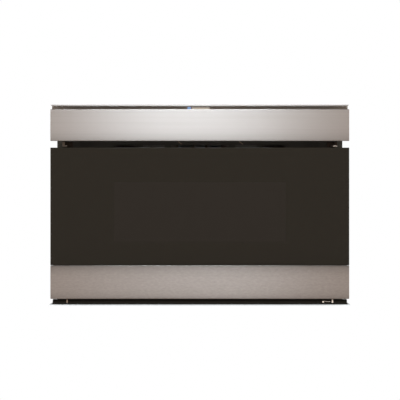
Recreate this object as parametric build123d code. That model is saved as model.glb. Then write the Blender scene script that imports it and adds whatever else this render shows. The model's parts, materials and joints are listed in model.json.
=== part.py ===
from build123d import *
import math
import os

# Built-in microwave drawer, in millimetres.
# +X is to the right, the front faces -Y, +Z is up.
# The origin is under the middle of the drawer, on the surface that it stands on.

# ---------------------------------------------------------------- overall size
overall_width = 606.4
overall_depth = 625.0
front_projection = 42.0

# ---------------------------------------------------------------- front, from the bottom up
bottom_trim_height = 9.5
door_bottom_gap = 1.5
lower_band_height = 68.0
glass_seam = 0.4
glass_height = 238.6
panel_gap = 12.0
panel_height = 66.0
slot_height = 6.0
top_trim_height = 3.0
bottom_trim_side_margin = 4.2
bottom_trim_setback = 8.0
bottom_trim_step = 3.0
bottom_trim_step_height = 6.5
top_trim_end_slant = 3.5
trim_sheet = 1.2
trim_flange_overlap = 8.0
clip_inset = 7.0
clip_width = 4.5
clip_sheet = 1.0
clip_low_z = 3.0
front_sheet = 1.2
bend_radius = 1.6

# ---------------------------------------------------------------- casing
casing_side_margin = 26.7
casing_drop = 32.0
casing_sheet = 1.0
casing_lip = 15.0
floor_vent_rows = 6
floor_vent_length = 44.0
floor_vent_width = 5.0
floor_vent_x = 75.0
floor_vent_pitch = 12.0
floor_vent_rear_margin = 45.0
side_vent_rows = 8
side_vent_length = 60.0
side_vent_height = 4.0
side_vent_low_z = 150.0
side_vent_pitch = 10.0
side_vent_rear_margin = 90.0
top_vent_rows = 7
top_vent_length = 60.0
top_vent_width = 4.0
top_vent_x = 90.0
top_vent_pitch = 11.0
top_vent_rear_margin = 45.0
rear_vent_rows = 5
rear_vent_length = 90.0
rear_vent_height = 4.5
rear_vent_inset = 96.5
rear_vent_low_z = 40.0
rear_vent_pitch = 11.0
grille_spokes = 16
grille_spoke_width = 5.0
grille_inner_margin = 4.0
rear_recess = 3.0
frame_sheet = 1.2
flange_side_margin = 13.2
rim_thickness = 0.2
rim_clearance = 0.1
mount_hole_radius = 2.25
mount_hole_edge = 6.5
mount_hole_low_z = 60.0
mount_hole_spacing_z = 285.0

# ---------------------------------------------------------------- microwave cavity
side_space = 55.5
roof_space = 95.0
machine_space = 158.8
cavity_floor_z = 98.0
cavity_sheet = 0.8
dome_radius = 92.0
dome_height = 22.0
dome_opening_radius = 20.0
stirrer_cover_thickness = 1.6
stirrer_cover_overlap = 7.0
perforation_radius = 1.6
perforation_pitch = 7.0
lamp_hole_rows = 3
lamp_hole_columns = 3
air_hole_rows = 4
air_hole_columns = 8

# ---------------------------------------------------------------- door
glass_thickness = 4.0
glass_setback = 0.5
door_frame_margin = 5.0
door_frame_edge_margin = 2.0
door_frame_depth = 24.0
door_frame_sheet = 1.0
door_flange = 15.0
ground_edge = 0.6
window_side_margin = 128.7
window_low_margin = 47.2
window_top_margin = 69.4
screen_thickness = 0.6
screen_overlap = 8.0
inner_window_thickness = 2.0
choke_width = 26.0
choke_depth = 9.5
choke_sheet = 1.0
choke_mouth_margin = 2.0
choke_cover_thickness = 1.5

# ---------------------------------------------------------------- drawer tub and running gear
drawer_travel = 380.0
tub_side_clearance = 5.0
tub_floor_clearance = 3.0
tub_rear_clearance = 20.0
tub_headroom = 65.0
tub_sheet = 1.5
tub_rim = 8.0
tub_corner_radius = 14.0
tub_mouth_radius = 8.0
tray_corner_radius = 10.0
tray_thickness = 4.0
tray_clearance = 5.0
glide_size = 20.0
glide_depth = 10.0
glide_side_inset = 55.0
glide_inset = 10.0
glide_corner_radius = 3.0
glide_clearance = 0.3
arm_sheet = 2.0
arm_offset = 20.0
arm_height = 40.0
arm_rear_reach = 13.3
arm_foot = 24.0
slide_centre_z = 48.0
slide_height = 46.0
slide_width = 12.7
slide_rear_reach = 34.0
slide_front_gap = 8.0
slide_sheet = 1.2
slide_member_gap = 1.0
ball_room = 4.2
ball_clearance = 0.3
ball_seat = 0.02
ball_count = 8
ball_pitch = 15.0
cage_thickness = 1.0
cage_width = 3.0
cage_end_margin = 3.0
cage_inset = 8.0
bracket_foot_gap = 0.5
slide_bracket_sheet = 1.5
arm_slot_clearance = 3.0

# ---------------------------------------------------------------- drive
shaft_setback = 34.3
shaft_radius = 4.0
shaft_clearance = 0.05
rack_tooth_height = 1.5
rack_pinion_teeth = 20
rack_width = 10.5
rack_back = 6.0
pinion_width = 9.0
drive_tooth_height = 1.25
drive_gear_teeth = 40
motor_pinion_teeth = 16
drive_gear_width = 10.0
motor_pinion_width = 12.0
drive_gear_x = -55.0
tooth_thinning = 0.14
pressure_angle = math.radians(20)
tooth_root_ratio = 1.25
bearing_width = 14.0
bearing_inset = 14.0
bearing_length = 36.0
bearing_wall = 7.0
bearing_corner_radius = 8.0
gear_hole_count = 6
gear_hole_radius = 4.5
shaft_end_chamfer = 0.6
shaft_end_clearance = 1.0
rack_end_margin = 1.0
rack_spare_teeth = 4
motor_shaft_radius = 3.0
gearbox_width = 38.0
gearbox_length = 48.0
gearbox_height = 54.0
motor_can_radius = 18.0
motor_can_length = 48.0
motor_boss_radius = 6.0
motor_boss_length = 4.0
motor_foot_radius = 5.0
motor_foot_inset = 7.0
gearbox_corner_radius = 5.0
gearbox_gap = 3.0
motor_shaft_reach = 10.0
motor_bore_depth = 12.0

# ---------------------------------------------------------------- control panel
panel_axis_back = 17.5
panel_axis_up = 6.0
panel_depth = 36.0
panel_fold_height = 4.5
panel_fold_setback = 0.7
panel_return = 5.0
housing_side_margin = 29.2
housing_wall = 2.0
housing_edge_clearance = 0.2
touch_glass_thickness = 2.6
touch_glass_margin = 2.0
display_width = 100.0
display_depth = 20.0
display_height = 8.0
board_thickness = 1.6
board_end_margin = 20.0
panel_pin_radius = 2.5
panel_pin_clearance = 0.05
panel_pin_reach = 10.0
panel_pin_head = 1.5
panel_bracket_sheet = 2.5
panel_bracket_gap = 3.0
panel_bracket_width = 12.0
panel_bracket_drop = 16.0
panel_bracket_rise = 10.0
panel_ear_wall = 4.0
panel_bracket_lip = 5.0
panel_bracket_reach = 2.0
panel_tab_height = 22.0
panel_tab_width = 8.0
panel_tab_sheet = 2.0
panel_lip_depth = 3.5
touch_glass_gap = 0.3
housing_boss_length = 12.0
housing_boss_wall = 3.5
housing_front_notch = 6.0
housing_notch_drop = 2.0
housing_rib_count = 7
housing_rib_inset = 49.0
housing_rib_depth = 13.0
housing_rib_top_gap = 22.0

# ---------------------------------------------------------------- sensor strip in the slot
sensor_strip_thickness = 2.5
sensor_strip_height = 14.0
slot_piece_clearance = 0.5
slot_piece_thickness = 1.0
sensor_window_width = 36.0
sensor_window_x = 2.0
status_lamp_width = 6.5
status_lamp_x = -21.8

# ---------------------------------------------------------------- vents in the front frame
vent_width = 44.0
vent_height = 7.0
vent_pitch = 57.0
vent_count = 6
vent_low_offset = -1.0
vent_bridge = 4.0
vent_middle_width = 22.0
side_slot_width = 27.0
side_slot_height = 10.0
side_slot_reach = 10.5
side_slot_offset = 2.5

# ---------------------------------------------------------------- interlock
hook_width = 6.0
hook_height = 12.0
hook_reach = 35.0
hook_drop = 50.0
hook_spacing = 64.0
hook_slot_clearance = 2.0
hook_foot_thickness = 2.0
hook_notch_length = 5.0
hook_nose_length = 4.0
plunger_radius = 2.0
plunger_travel = 1.5
plunger_clearance = 0.05
plunger_gap = 0.3
plunger_reach = 3.0
plunger_bore_depth = 8.0
plunger_end_clearance = 0.5
switch_front_gap = 10.3
switch_width = 10.0
switch_height = 16.0
switch_length = 28.0
interlock_sheet = 1.5
interlock_end_margin = 20.0
blade_width = 3.2
blade_thickness = 0.8
blade_length = 7.0
blade_pitch = 5.0

# ---------------------------------------------------------------- power and cooling
waveguide_width = 90.0
waveguide_height = 36.0
waveguide_front_reach = 40.0
waveguide_end_margin = 7.0
waveguide_hole_margin = 3.0
stirrer_radius = 80.0
stirrer_vane_width = 34.0
stirrer_vane_tilt = 12.0
stirrer_vane_count = 4
stirrer_hub_radius = 9.0
stirrer_hub_height = 8.0
stirrer_shaft_reach = 10.0
stirrer_bore_depth = 12.0
stirrer_blade_thickness = 1.0
stirrer_shaft_radius = 2.5
stirrer_motor_radius = 24.0
stirrer_motor_height = 20.0
stirrer_ear_reach = 10.0
stirrer_ear_width = 14.0
stirrer_ear_sheet = 2.0
magnetron_width = 94.0
magnetron_length = 74.0
magnetron_height = 78.0
magnetron_gap = 14.0
magnetron_sheet = 1.5
anode_radius = 19.0
fin_count = 9
fin_pitch = 4.6
fin_thickness = 0.7
antenna_radius = 8.0
antenna_height = 20.0
antenna_clearance = 1.0
fin_end_margin = 7.0
fan_radius = 56.0
fan_drop = 50.8
fan_tip_clearance = 4.0
fan_blade_count = 6
fan_blade_depth = 16.0
fan_hub_radius = 14.0
fan_vane_pitch_angle = 28.0
fan_vane_chord = 26.0
fan_vane_thickness = 1.6
fan_panel_gap = 2.0
fan_shaft_reach = 10.0
fan_bore_depth = 12.0
fan_motor_radius = 26.0
fan_motor_length = 17.0
fan_shaft_radius = 2.5
shroud_length = 46.0
shroud_margin = 8.0
shroud_sheet = 1.5
core_width = 104.0
core_length = 60.0
core_height = 88.0
core_leg = 18.0
core_side_inset = 95.5
floor_parts_inset = 93.5
winding_overhang = 18.0
winding_gap = 2.0
winding_side_clearance = 0.3
winding_corner_radius = 8.0
capacitor_width = 52.0
capacitor_length = 34.0
capacitor_height = 92.0
capacitor_side_inset = 99.5
terminal_width = 6.3
terminal_thickness = 0.8
terminal_height = 9.0
terminal_x = 10.0
terminal_base_radius = 4.5
terminal_base_height = 3.0
board_side_inset = 55.0
board_offset = 50.0
board_width = 96.0
board_length = 170.0
board_tray_height = 18.0
relay_count = 4
relay_width = 16.0
relay_length = 28.0
relay_height = 16.0
relay_pitch = 32.0
relay_offset = 30.0
small_transformer_width = 34.0
small_transformer_length = 40.0
small_transformer_height = 30.0
small_transformer_offset = 50.0
board_can_count = 3
board_can_radius = 6.0
board_can_height = 18.0
board_can_pitch = 14.0
connector_count = 4
connector_width = 22.0
connector_length = 8.0
connector_height = 10.0
connector_pitch = 14.0
connector_offset = 32.0
board_right_offset = 22.0
board_tray_wall = 2.0
board_tray_gap = 2.0
board_post_radius = 3.5
board_post_height = 10.0
board_post_inset = 6.0
cutout_radius = 8.5
cutout_height = 10.0
cutout_front_inset = 99.3
cutout_rear_inset = 90.7
cutout_ear_length = 30.0
cutout_ear_width = 10.0
cutout_ear_sheet = 1.0
lamp_size = 30.0
lamp_depth = 28.0
lamp_offset = 20.0
lamp_drop = 38.0
lamp_corner_radius = 3.0
gland_side_inset = 46.5
gland_drop = 43.0
gland_radius = 11.0
gland_flange = 3.5
gland_flange_thickness = 2.5
gland_bore_radius = 4.5
gland_inner_length = 6.0
gland_inner_flange = 1.5
screw_head_radius = 3.6
screw_head_height = 2.2
screw_edge_radius = 0.8
screw_slot_length = 4.4
screw_slot_width = 1.0
screw_slot_depth = 1.2
screw_inset = 12.0
through = 10.0

# ---------------------------------------------------------------- places worked out from the sizes
front_y = -overall_depth / 2
rear_y = overall_depth / 2
half_width = overall_width / 2
frame_front_y = front_y + front_projection
frame_back_y = frame_front_y + frame_sheet
half_casing = half_width - casing_side_margin
half_casing_inner = half_casing - casing_sheet
half_flange = half_width - flange_side_margin
half_bottom_trim = half_width - bottom_trim_side_margin
clip_x = half_casing - clip_inset
rear_panel_y = rear_y - rear_recess

door_low_z = bottom_trim_height + door_bottom_gap
band_top_z = door_low_z + lower_band_height
glass_low_z = band_top_z + glass_seam
door_top_z = glass_low_z + glass_height
panel_low_z = door_top_z + panel_gap
panel_top_z = panel_low_z + panel_height
trim_low_z = panel_top_z + slot_height
overall_height = trim_low_z + top_trim_height
casing_height = overall_height - casing_drop

half_cavity = half_casing_inner - side_space
cavity_rear_y = rear_panel_y - machine_space
cavity_middle_y = (frame_back_y + cavity_rear_y) / 2
cavity_top_z = casing_height - roof_space
cavity_roof_z = cavity_top_z + cavity_sheet
dome_y = cavity_middle_y
dome_top_z = cavity_roof_z + dome_height
lamp_y = cavity_middle_y + lamp_offset
lamp_z = cavity_top_z - lamp_drop

glass_front_y = front_y + glass_setback
glass_back_y = glass_front_y + glass_thickness
door_back_y = glass_back_y + door_frame_depth
choke_back_y = door_back_y + choke_depth
window_width = overall_width - 2 * window_side_margin
window_height = glass_height - window_low_margin - window_top_margin
window_low_z = glass_low_z + window_low_margin

half_tub = half_cavity - tub_side_clearance
tub_low_z = cavity_floor_z + tub_floor_clearance
tub_rear_y = cavity_rear_y - tub_rear_clearance
tub_top_z = cavity_top_z - tub_headroom
glide_x = half_tub - glide_side_inset

arm_inner_x = half_cavity + arm_offset
arm_outer_x = arm_inner_x + arm_sheet
slide_outer_x = arm_outer_x + slide_width
arm_low_z = slide_centre_z - arm_height / 2
arm_top_z = slide_centre_z + arm_height / 2
slide_front_y = frame_back_y + slide_front_gap
slide_rear_y = cavity_rear_y + slide_rear_reach
arm_rear_y = cavity_rear_y + arm_rear_reach
side_slot_x = half_cavity + side_slot_reach

shaft_y = frame_back_y + shaft_setback
rack_pitch_radius = rack_tooth_height * rack_pinion_teeth / 2
rack_root_z = arm_top_z - rack_back - tooth_root_ratio
rack_pitch_z = rack_root_z - rack_tooth_height * tooth_root_ratio
shaft_z = rack_pitch_z - rack_pitch_radius
drive_gear_radius = drive_tooth_height * drive_gear_teeth / 2
motor_pinion_radius = drive_tooth_height * motor_pinion_teeth / 2
motor_y = shaft_y + drive_gear_radius + motor_pinion_radius

panel_axis_y = front_y + panel_axis_back
panel_axis_z = panel_low_z + panel_axis_up
panel_rear_y = front_y + panel_depth
half_housing = half_width - housing_side_margin

hook_x = half_cavity + hook_reach
hook_low_z = cavity_top_z - hook_drop

core_x = core_side_inset - half_casing_inner
core_y = rear_panel_y - floor_parts_inset
capacitor_x = half_casing_inner - capacitor_side_inset
capacitor_y = rear_panel_y - floor_parts_inset
tray_board_x = board_side_inset - half_cavity
tray_board_y = cavity_middle_y - board_offset
cutout_x = half_cavity / 2
cutout_front_y = frame_back_y + cutout_front_inset
cutout_rear_y = cavity_rear_y - cutout_rear_inset
fan_axis_z = dome_top_z - fan_drop
gland_x = gland_side_inset - half_casing
gland_z = casing_height - gland_drop
rear_vent_x = half_casing - rear_vent_inset

waveguide_rear_y = cavity_rear_y + cavity_sheet + magnetron_gap + magnetron_length + waveguide_end_margin
magnetron_y = cavity_rear_y + cavity_sheet + magnetron_gap + magnetron_length / 2
magnetron_low_z = dome_top_z - magnetron_height


# ---------------------------------------------------------------- shared shapes
def block(x_span, y_span, z_span):
    """A box between two values along each axis."""
    size = [span[1] - span[0] for span in (x_span, y_span, z_span)]
    middle = [(span[1] + span[0]) / 2 for span in (x_span, y_span, z_span)]
    return Pos(*middle) * Box(*size)


def both(half):
    """The span from minus half to plus half."""
    return (-half, half)


def around(middle, size):
    """The span of a size about its middle."""
    return (middle - size / 2, middle + size / 2)


def side_span(side, inner, outer):
    """The span between two distances from the middle, on the left (-1) or right (1) side."""
    return tuple(sorted((side * inner, side * outer)))


def rod(radius, centre, length, axis):
    """A cylinder with its middle at a point, along the X, Y or Z axis."""
    turn = {"X": Rot(0, 90, 0), "Y": Rot(90, 0, 0), "Z": Rot(0, 0, 0)}[axis]
    return Pos(*centre) * turn * Cylinder(radius, length)


def profile_along_x(points, x_span):
    """A closed outline of (y, z) points, carried along X."""
    outline = Polyline(*points, close=True)
    face = make_face(Plane.YZ * outline)
    return Pos(x_span[0], 0, 0) * extrude(face, amount=x_span[1] - x_span[0], dir=(1, 0, 0))


def plate_z(width, length, z_span, centre_x, centre_y, radius):
    """A level plate with rounded corners."""
    plate = extrude(RectangleRounded(width, length, radius), amount=z_span[1] - z_span[0])
    return Pos(centre_x, centre_y, z_span[0]) * plate


def round_slot(length, width, centre_x, centre_y, z):
    """A cutter for a slot with round ends through a level sheet."""
    slot = extrude(SlotOverall(length, width), amount=through / 2, both=True)
    return Pos(centre_x, centre_y, z) * slot


def save(name, *solids):
    """Write one node, made of one or more separate solids."""
    found = []
    for shape in solids:
        found.extend(shape.solids())
    shape = found[0] if len(found) == 1 else Compound(children=found)
    export_step(shape, "parts/" + name + ".step")


def involute(angle):
    return math.tan(angle) - angle


def spur_gear(module_size, teeth, width, bore_radius, first_tooth):
    """A spur gear about the X axis with involute flanks, its first tooth at an angle from +Y."""
    pitch_radius = module_size * teeth / 2
    base_radius = pitch_radius * math.cos(pressure_angle)
    tip_radius = pitch_radius + module_size
    root_radius = pitch_radius - module_size * tooth_root_ratio
    base_half_angle = math.pi / (2 * teeth) + involute(pressure_angle) - tooth_thinning / (2 * pitch_radius)
    flank_steps = 5
    flank = []
    if root_radius < base_radius:
        flank.append((root_radius, base_half_angle))
    start_radius = max(root_radius, base_radius)
    for step in range(flank_steps + 1):
        radius = start_radius + (tip_radius - start_radius) * step / flank_steps
        reach = involute(math.acos(min(1.0, base_radius / radius)))
        flank.append((radius, base_half_angle - reach))
    points = []
    for tooth in range(teeth):
        middle = first_tooth + 2 * math.pi * tooth / teeth
        for radius, half in flank:
            points.append((radius * math.cos(middle - half), radius * math.sin(middle - half)))
        for radius, half in reversed(flank):
            points.append((radius * math.cos(middle + half), radius * math.sin(middle + half)))
    gear = profile_along_x(points, both(width / 2))
    return gear - rod(bore_radius, (0, 0, 0), 2 * width, "X")


os.makedirs("parts", exist_ok=True)


# ---------------------------------------------------------------- casing
def base_pan():
    """The floor sheet with turned-up lips, vent slots and stiffening beads."""
    pan = block(both(half_casing_inner), (frame_back_y, rear_y), (0, casing_sheet))
    lip_inner = half_casing_inner - casing_sheet
    for side in (-1, 1):
        pan += block(side_span(side, lip_inner, half_casing_inner),
                     (frame_back_y, rear_panel_y - casing_sheet), (0, casing_lip))
    for row in range(floor_vent_rows):
        for side in (-1, 1):
            slot_y = rear_panel_y - floor_vent_rear_margin - row * floor_vent_pitch
            pan -= round_slot(floor_vent_length, floor_vent_width, side * floor_vent_x, slot_y, 0)
    return pan


def side_cover(side):
    """One side sheet, with a lip along its front and one along its top."""
    top_z = casing_height - casing_sheet
    cover = block(side_span(side, half_casing_inner, half_casing), (frame_back_y, rear_y), (0, top_z))
    cover += block(side_span(side, half_casing_inner - casing_lip, half_casing_inner),
                   (frame_back_y, rear_panel_y - casing_sheet), (top_z - casing_sheet, top_z))
    for row in range(side_vent_rows):
        slot_z = side_vent_low_z + row * side_vent_pitch
        cover -= block(around(side * half_casing, through),
                       around(rear_y - side_vent_rear_margin, side_vent_length),
                       around(slot_z, side_vent_height))
    return cover


def top_cover():
    """The top sheet, with vent slots over the magnetron."""
    cover = block(both(half_casing), (frame_back_y, rear_y), (casing_height - casing_sheet, casing_height))
    for row in range(top_vent_rows):
        for column in (-1, 0, 1):
            slot_y = rear_y - top_vent_rear_margin - row * top_vent_pitch
            cover -= round_slot(top_vent_length, top_vent_width, column * top_vent_x, slot_y, casing_height)
    return cover


def rear_panel():
    """The rear sheet, with the fan's grille and the hole for the cord gland."""
    z_span = (casing_sheet, casing_height - casing_sheet)
    y_span = (rear_panel_y - casing_sheet, rear_panel_y)
    panel = block(both(half_casing_inner), y_span, z_span)
    cut_y = around(rear_panel_y, through)
    for spoke in range(grille_spokes):
        slot = block((fan_motor_radius + grille_inner_margin, fan_radius), cut_y,
                     both(grille_spoke_width / 2))
        panel -= Pos(0, 0, fan_axis_z) * Rot(0, spoke * 360 / grille_spokes, 0) * slot
    panel -= rod(gland_radius, (gland_x, rear_panel_y, gland_z), through, "Y")
    for row in range(rear_vent_rows):
        slot_z = rear_vent_low_z + row * rear_vent_pitch
        for side in (-1, 1):
            panel -= block(around(side * rear_vent_x, rear_vent_length), cut_y,
                           around(slot_z, rear_vent_height))
    return panel


def front_frame():
    """The flange whose rim meets the cabinet, with every opening that the drawer needs."""
    frame = block(both(half_flange), (frame_front_y, frame_back_y), (0, overall_height - trim_sheet))
    rim_y_span = (frame_back_y, frame_back_y + rim_thickness)
    rim = block(both(half_flange), rim_y_span, (0, overall_height - trim_sheet))
    rim -= block(both(half_casing + rim_clearance), rim_y_span, (0, casing_height + rim_clearance))
    frame += rim
    cut_y = around(frame_front_y, through)
    frame -= block(both(half_cavity), cut_y, (cavity_floor_z, cavity_top_z))
    slot_low_z = slide_centre_z - slide_height / 2 - arm_slot_clearance
    slot_top_z = slide_centre_z + slide_height / 2 + arm_slot_clearance
    slot_inner = arm_inner_x - rack_width - arm_slot_clearance
    slot_outer = slide_outer_x + arm_slot_clearance
    hole_x = half_flange - mount_hole_edge
    for side in (-1, 1):
        frame -= block(side_span(side, slot_inner, slot_outer), cut_y, (slot_low_z, slot_top_z))
        frame -= block(around(side * side_slot_x, side_slot_width), cut_y,
                       (door_top_z + side_slot_offset, door_top_z + side_slot_offset + side_slot_height))
        for hole_z in (mount_hole_low_z, mount_hole_low_z + mount_hole_spacing_z):
            frame -= rod(mount_hole_radius, (side * hole_x, frame_back_y, hole_z), through, "Y")
    vent_low_z = door_top_z + vent_low_offset
    for index in range(vent_count):
        centre = (index - (vent_count - 1) / 2) * vent_pitch
        centre += math.copysign((vent_middle_width + 2 * vent_bridge - vent_pitch + vent_width) / 2, centre)
        frame -= block(around(centre, vent_width), cut_y, (vent_low_z, vent_low_z + vent_height))
    frame -= block(both(vent_middle_width / 2), cut_y, (vent_low_z, vent_low_z + vent_height))
    for hook_z in (hook_low_z, hook_low_z + hook_spacing):
        frame -= block(around(hook_x, hook_width + 2 * hook_slot_clearance), cut_y,
                       around(hook_z, hook_height + 2 * hook_slot_clearance))
    return frame


def top_trim():
    """The top strip: a level plate, a front lip and a flange that lies on the front frame."""
    top_z = overall_height
    flange_low_z = panel_top_z - trim_flange_overlap
    points = [(front_y, trim_low_z), (front_y, top_z), (frame_front_y, top_z), (frame_front_y, flange_low_z),
              (frame_front_y - trim_sheet, flange_low_z), (frame_front_y - trim_sheet, top_z - trim_sheet),
              (front_y + trim_sheet, top_z - trim_sheet), (front_y + trim_sheet, trim_low_z)]
    trim = profile_along_x(points, both(half_width))
    frame_cap = block(both(half_width), (frame_front_y, frame_back_y), (top_z - trim_sheet, top_z))
    trim += frame_cap
    for side in (-1, 1):
        inner = side * (half_width - top_trim_end_slant)
        outer = side * (half_width + 1)
        corner_outline = Polyline((side * half_width, top_z), (inner, trim_low_z), (inner, flange_low_z - 1),
                                  (outer, flange_low_z - 1), (outer, top_z), close=True)
        corner = extrude(make_face(Plane.XZ * corner_outline), amount=front_projection + 10, dir=(0, 1, 0))
        trim -= Pos(0, front_y - 1, 0) * corner
    return trim


def bottom_trim():
    """The dark folded strip under the door, with a step along its front."""
    face_y = front_y + bottom_trim_setback
    step_y = face_y + bottom_trim_step
    top_z = bottom_trim_height
    inner_y = face_y + trim_sheet
    step_inner_y = step_y + trim_sheet
    step_z = bottom_trim_step_height
    points = [(face_y, 0), (face_y, step_z), (step_y, step_z), (step_y, top_z), (frame_front_y, top_z),
              (frame_front_y, top_z - trim_sheet), (step_inner_y, top_z - trim_sheet),
              (step_inner_y, step_z - trim_sheet), (inner_y, step_z - trim_sheet), (inner_y, trim_sheet),
              (frame_front_y, trim_sheet), (frame_front_y, 0)]
    return profile_along_x(points, both(half_bottom_trim))


def trim_clip(side):
    """A galvanised clip that holds the bottom trim, seen as a bright upright mark under the door."""
    face_y = front_y + bottom_trim_setback
    step_y = face_y + bottom_trim_step
    x_span = around(side * clip_x, clip_width)
    clip = block(x_span, (face_y - clip_sheet, face_y), (clip_low_z, bottom_trim_step_height))
    clip += block(x_span, (face_y - clip_sheet, step_y), (bottom_trim_step_height,
                                                          bottom_trim_step_height + clip_sheet))
    clip += block(x_span, (step_y - clip_sheet, step_y), (bottom_trim_step_height, bottom_trim_height))
    return clip


save("base_pan", base_pan())
save("left_side_cover", side_cover(-1))
save("right_side_cover", side_cover(1))
save("top_cover", top_cover())
save("rear_panel", rear_panel())
save("front_frame", front_frame())
save("top_trim", top_trim())
save("bottom_trim", bottom_trim())
save("trim_clips", trim_clip(-1), trim_clip(1))


# ---------------------------------------------------------------- slot under the top trim
strip_back_y = frame_front_y - trim_sheet
strip_front_y = strip_back_y - sensor_strip_thickness
strip_top_z = overall_height - trim_sheet
piece_z_span = (panel_top_z + slot_piece_clearance, trim_low_z - slot_piece_clearance)
piece_y_span = (strip_front_y - slot_piece_thickness, strip_front_y)
sensor_strip = block(both(half_width - top_trim_end_slant), (strip_front_y, strip_back_y),
                     (strip_top_z - sensor_strip_height, strip_top_z))
save("sensor_strip", sensor_strip)
save("sensor_window", block(around(sensor_window_x, sensor_window_width), piece_y_span, piece_z_span))
save("status_lamp", block(around(status_lamp_x, status_lamp_width), piece_y_span, piece_z_span))


# ---------------------------------------------------------------- microwave cavity
def perforation(side, centre_y, centre_z, rows, columns):
    """A patch of small round holes through one side wall of the cavity."""
    cutters = []
    for row in range(rows):
        for column in range(columns):
            hole_y = centre_y + (column - (columns - 1) / 2) * perforation_pitch
            hole_z = centre_z + (row - (rows - 1) / 2) * perforation_pitch
            cutters.append(rod(perforation_radius, (side * half_cavity, hole_y, hole_z), through, "X"))
    return cutters


def cavity_shell():
    """The box that the drawer slides into, open at the front, with a dome in its roof."""
    outer_half = half_cavity + cavity_sheet
    shell = block(both(outer_half), (frame_back_y, cavity_rear_y + cavity_sheet),
                  (cavity_floor_z - cavity_sheet, cavity_roof_z))
    shell += rod(dome_radius + cavity_sheet, (0, dome_y, (cavity_roof_z + dome_top_z) / 2), dome_height, "Z")
    shell -= block(both(half_cavity), (frame_back_y, cavity_rear_y), (cavity_floor_z, cavity_top_z))
    dome_inner_top = dome_top_z - cavity_sheet
    dome_inner_height = dome_inner_top - cavity_top_z
    shell -= rod(dome_radius, (0, dome_y, cavity_top_z + dome_inner_height / 2), dome_inner_height, "Z")
    shell -= rod(dome_opening_radius, (0, dome_y, dome_top_z), through, "Z")
    for cutter in perforation(-1, lamp_y, lamp_z, lamp_hole_rows, lamp_hole_columns):
        shell -= cutter
    for cutter in perforation(1, lamp_y, lamp_z, air_hole_rows, air_hole_columns):
        shell -= cutter
    return shell


def waveguide():
    """The rectangular duct from the magnetron to the dome."""
    front = dome_y - waveguide_front_reach
    z_span = (dome_top_z, dome_top_z + waveguide_height)
    duct = block(both(waveguide_width / 2), (front, waveguide_rear_y), z_span)
    wall = cavity_sheet
    duct -= block(both(waveguide_width / 2 - wall), (front + wall, waveguide_rear_y - wall),
                  (z_span[0] + wall, z_span[1] - wall))
    duct -= rod(dome_opening_radius, (0, dome_y, z_span[0]), through, "Z")
    duct -= rod(antenna_radius + waveguide_hole_margin, (0, magnetron_y, z_span[0]), through, "Z")
    duct -= rod(stirrer_shaft_radius + waveguide_hole_margin, (0, dome_y, z_span[1]), through, "Z")
    return duct


def stirrer_motor():
    """The small synchronous motor on top of the waveguide."""
    low_z = dome_top_z + waveguide_height
    body = rod(stirrer_motor_radius, (0, dome_y, low_z + stirrer_motor_height / 2), stirrer_motor_height, "Z")
    motor = body + plate_z(2 * (stirrer_motor_radius + stirrer_ear_reach), stirrer_ear_width,
                           (low_z, low_z + stirrer_ear_sheet), 0, dome_y, stirrer_ear_width / 2.2)
    return motor - rod(stirrer_shaft_radius + shaft_clearance, (0, dome_y, low_z),
                       2 * stirrer_bore_depth, "Z")


def stirrer_blade():
    """The mode stirrer: tilted vanes on a plastic shaft."""
    vane_z = cavity_top_z + dome_height / 2
    shaft_top_z = dome_top_z + waveguide_height + stirrer_shaft_reach
    blade = rod(stirrer_shaft_radius, (0, dome_y, (vane_z + shaft_top_z) / 2), shaft_top_z - vane_z, "Z")
    blade += rod(stirrer_hub_radius, (0, dome_y, vane_z), stirrer_hub_height, "Z")
    for index in range(stirrer_vane_count):
        vane = block((stirrer_hub_radius / 2, stirrer_radius), both(stirrer_vane_width / 2),
                     both(stirrer_blade_thickness / 2))
        vane = Rot(stirrer_vane_tilt, 0, 0) * vane
        blade += Pos(0, dome_y, vane_z) * Rot(0, 0, index * 360 / stirrer_vane_count) * vane
    return blade


save("cavity_shell", cavity_shell())
stirrer_cover_centre = (0, dome_y, cavity_top_z - stirrer_cover_thickness / 2)
stirrer_cover = rod(dome_radius + stirrer_cover_overlap, stirrer_cover_centre, stirrer_cover_thickness, "Z")
save("stirrer_cover", stirrer_cover)
save("waveguide", waveguide())
save("stirrer_motor", stirrer_motor())
save("stirrer_blade", stirrer_blade())

lamp_x_span = (-half_cavity - cavity_sheet - lamp_depth, -half_cavity - cavity_sheet)
lamp_body = block(lamp_x_span, around(lamp_y, lamp_size), around(lamp_z, lamp_size))
lamp_body = fillet(lamp_body.edges().filter_by(Axis.X), lamp_corner_radius)
save("cavity_lamp", lamp_body)


# ---------------------------------------------------------------- power
def magnetron_yoke():
    """The steel yoke round the magnetron, open at the front and rear for cooling air."""
    z_span = (magnetron_low_z, dome_top_z)
    yoke = block(both(magnetron_width / 2), around(magnetron_y, magnetron_length), z_span)
    yoke -= block(both(magnetron_width / 2 - magnetron_sheet), around(magnetron_y, magnetron_length),
                  (z_span[0] + magnetron_sheet, z_span[1] - magnetron_sheet))
    yoke -= rod(antenna_radius + antenna_clearance, (0, magnetron_y, dome_top_z), through, "Z")
    return yoke


def magnetron_tube():
    """The anode with its cooling fins and the antenna that reaches into the waveguide."""
    low_z = magnetron_low_z + magnetron_sheet
    top_z = dome_top_z - magnetron_sheet
    tube = rod(anode_radius, (0, magnetron_y, (low_z + top_z) / 2), top_z - low_z, "Z")
    tube += rod(antenna_radius, (0, magnetron_y, (top_z + dome_top_z + antenna_height) / 2),
                dome_top_z + antenna_height - top_z, "Z")
    fin_width = magnetron_width - 2 * magnetron_sheet
    for index in range(fin_count):
        fin_z = (low_z + top_z) / 2 + (index - (fin_count - 1) / 2) * fin_pitch
        tube += block(both(fin_width / 2), around(magnetron_y, magnetron_length - 2 * fin_end_margin),
                      around(fin_z, fin_thickness))
    return tube


core_window_width = (core_width - 4 * core_leg) / 2
core_window_height = core_height - 2 * core_leg


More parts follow.
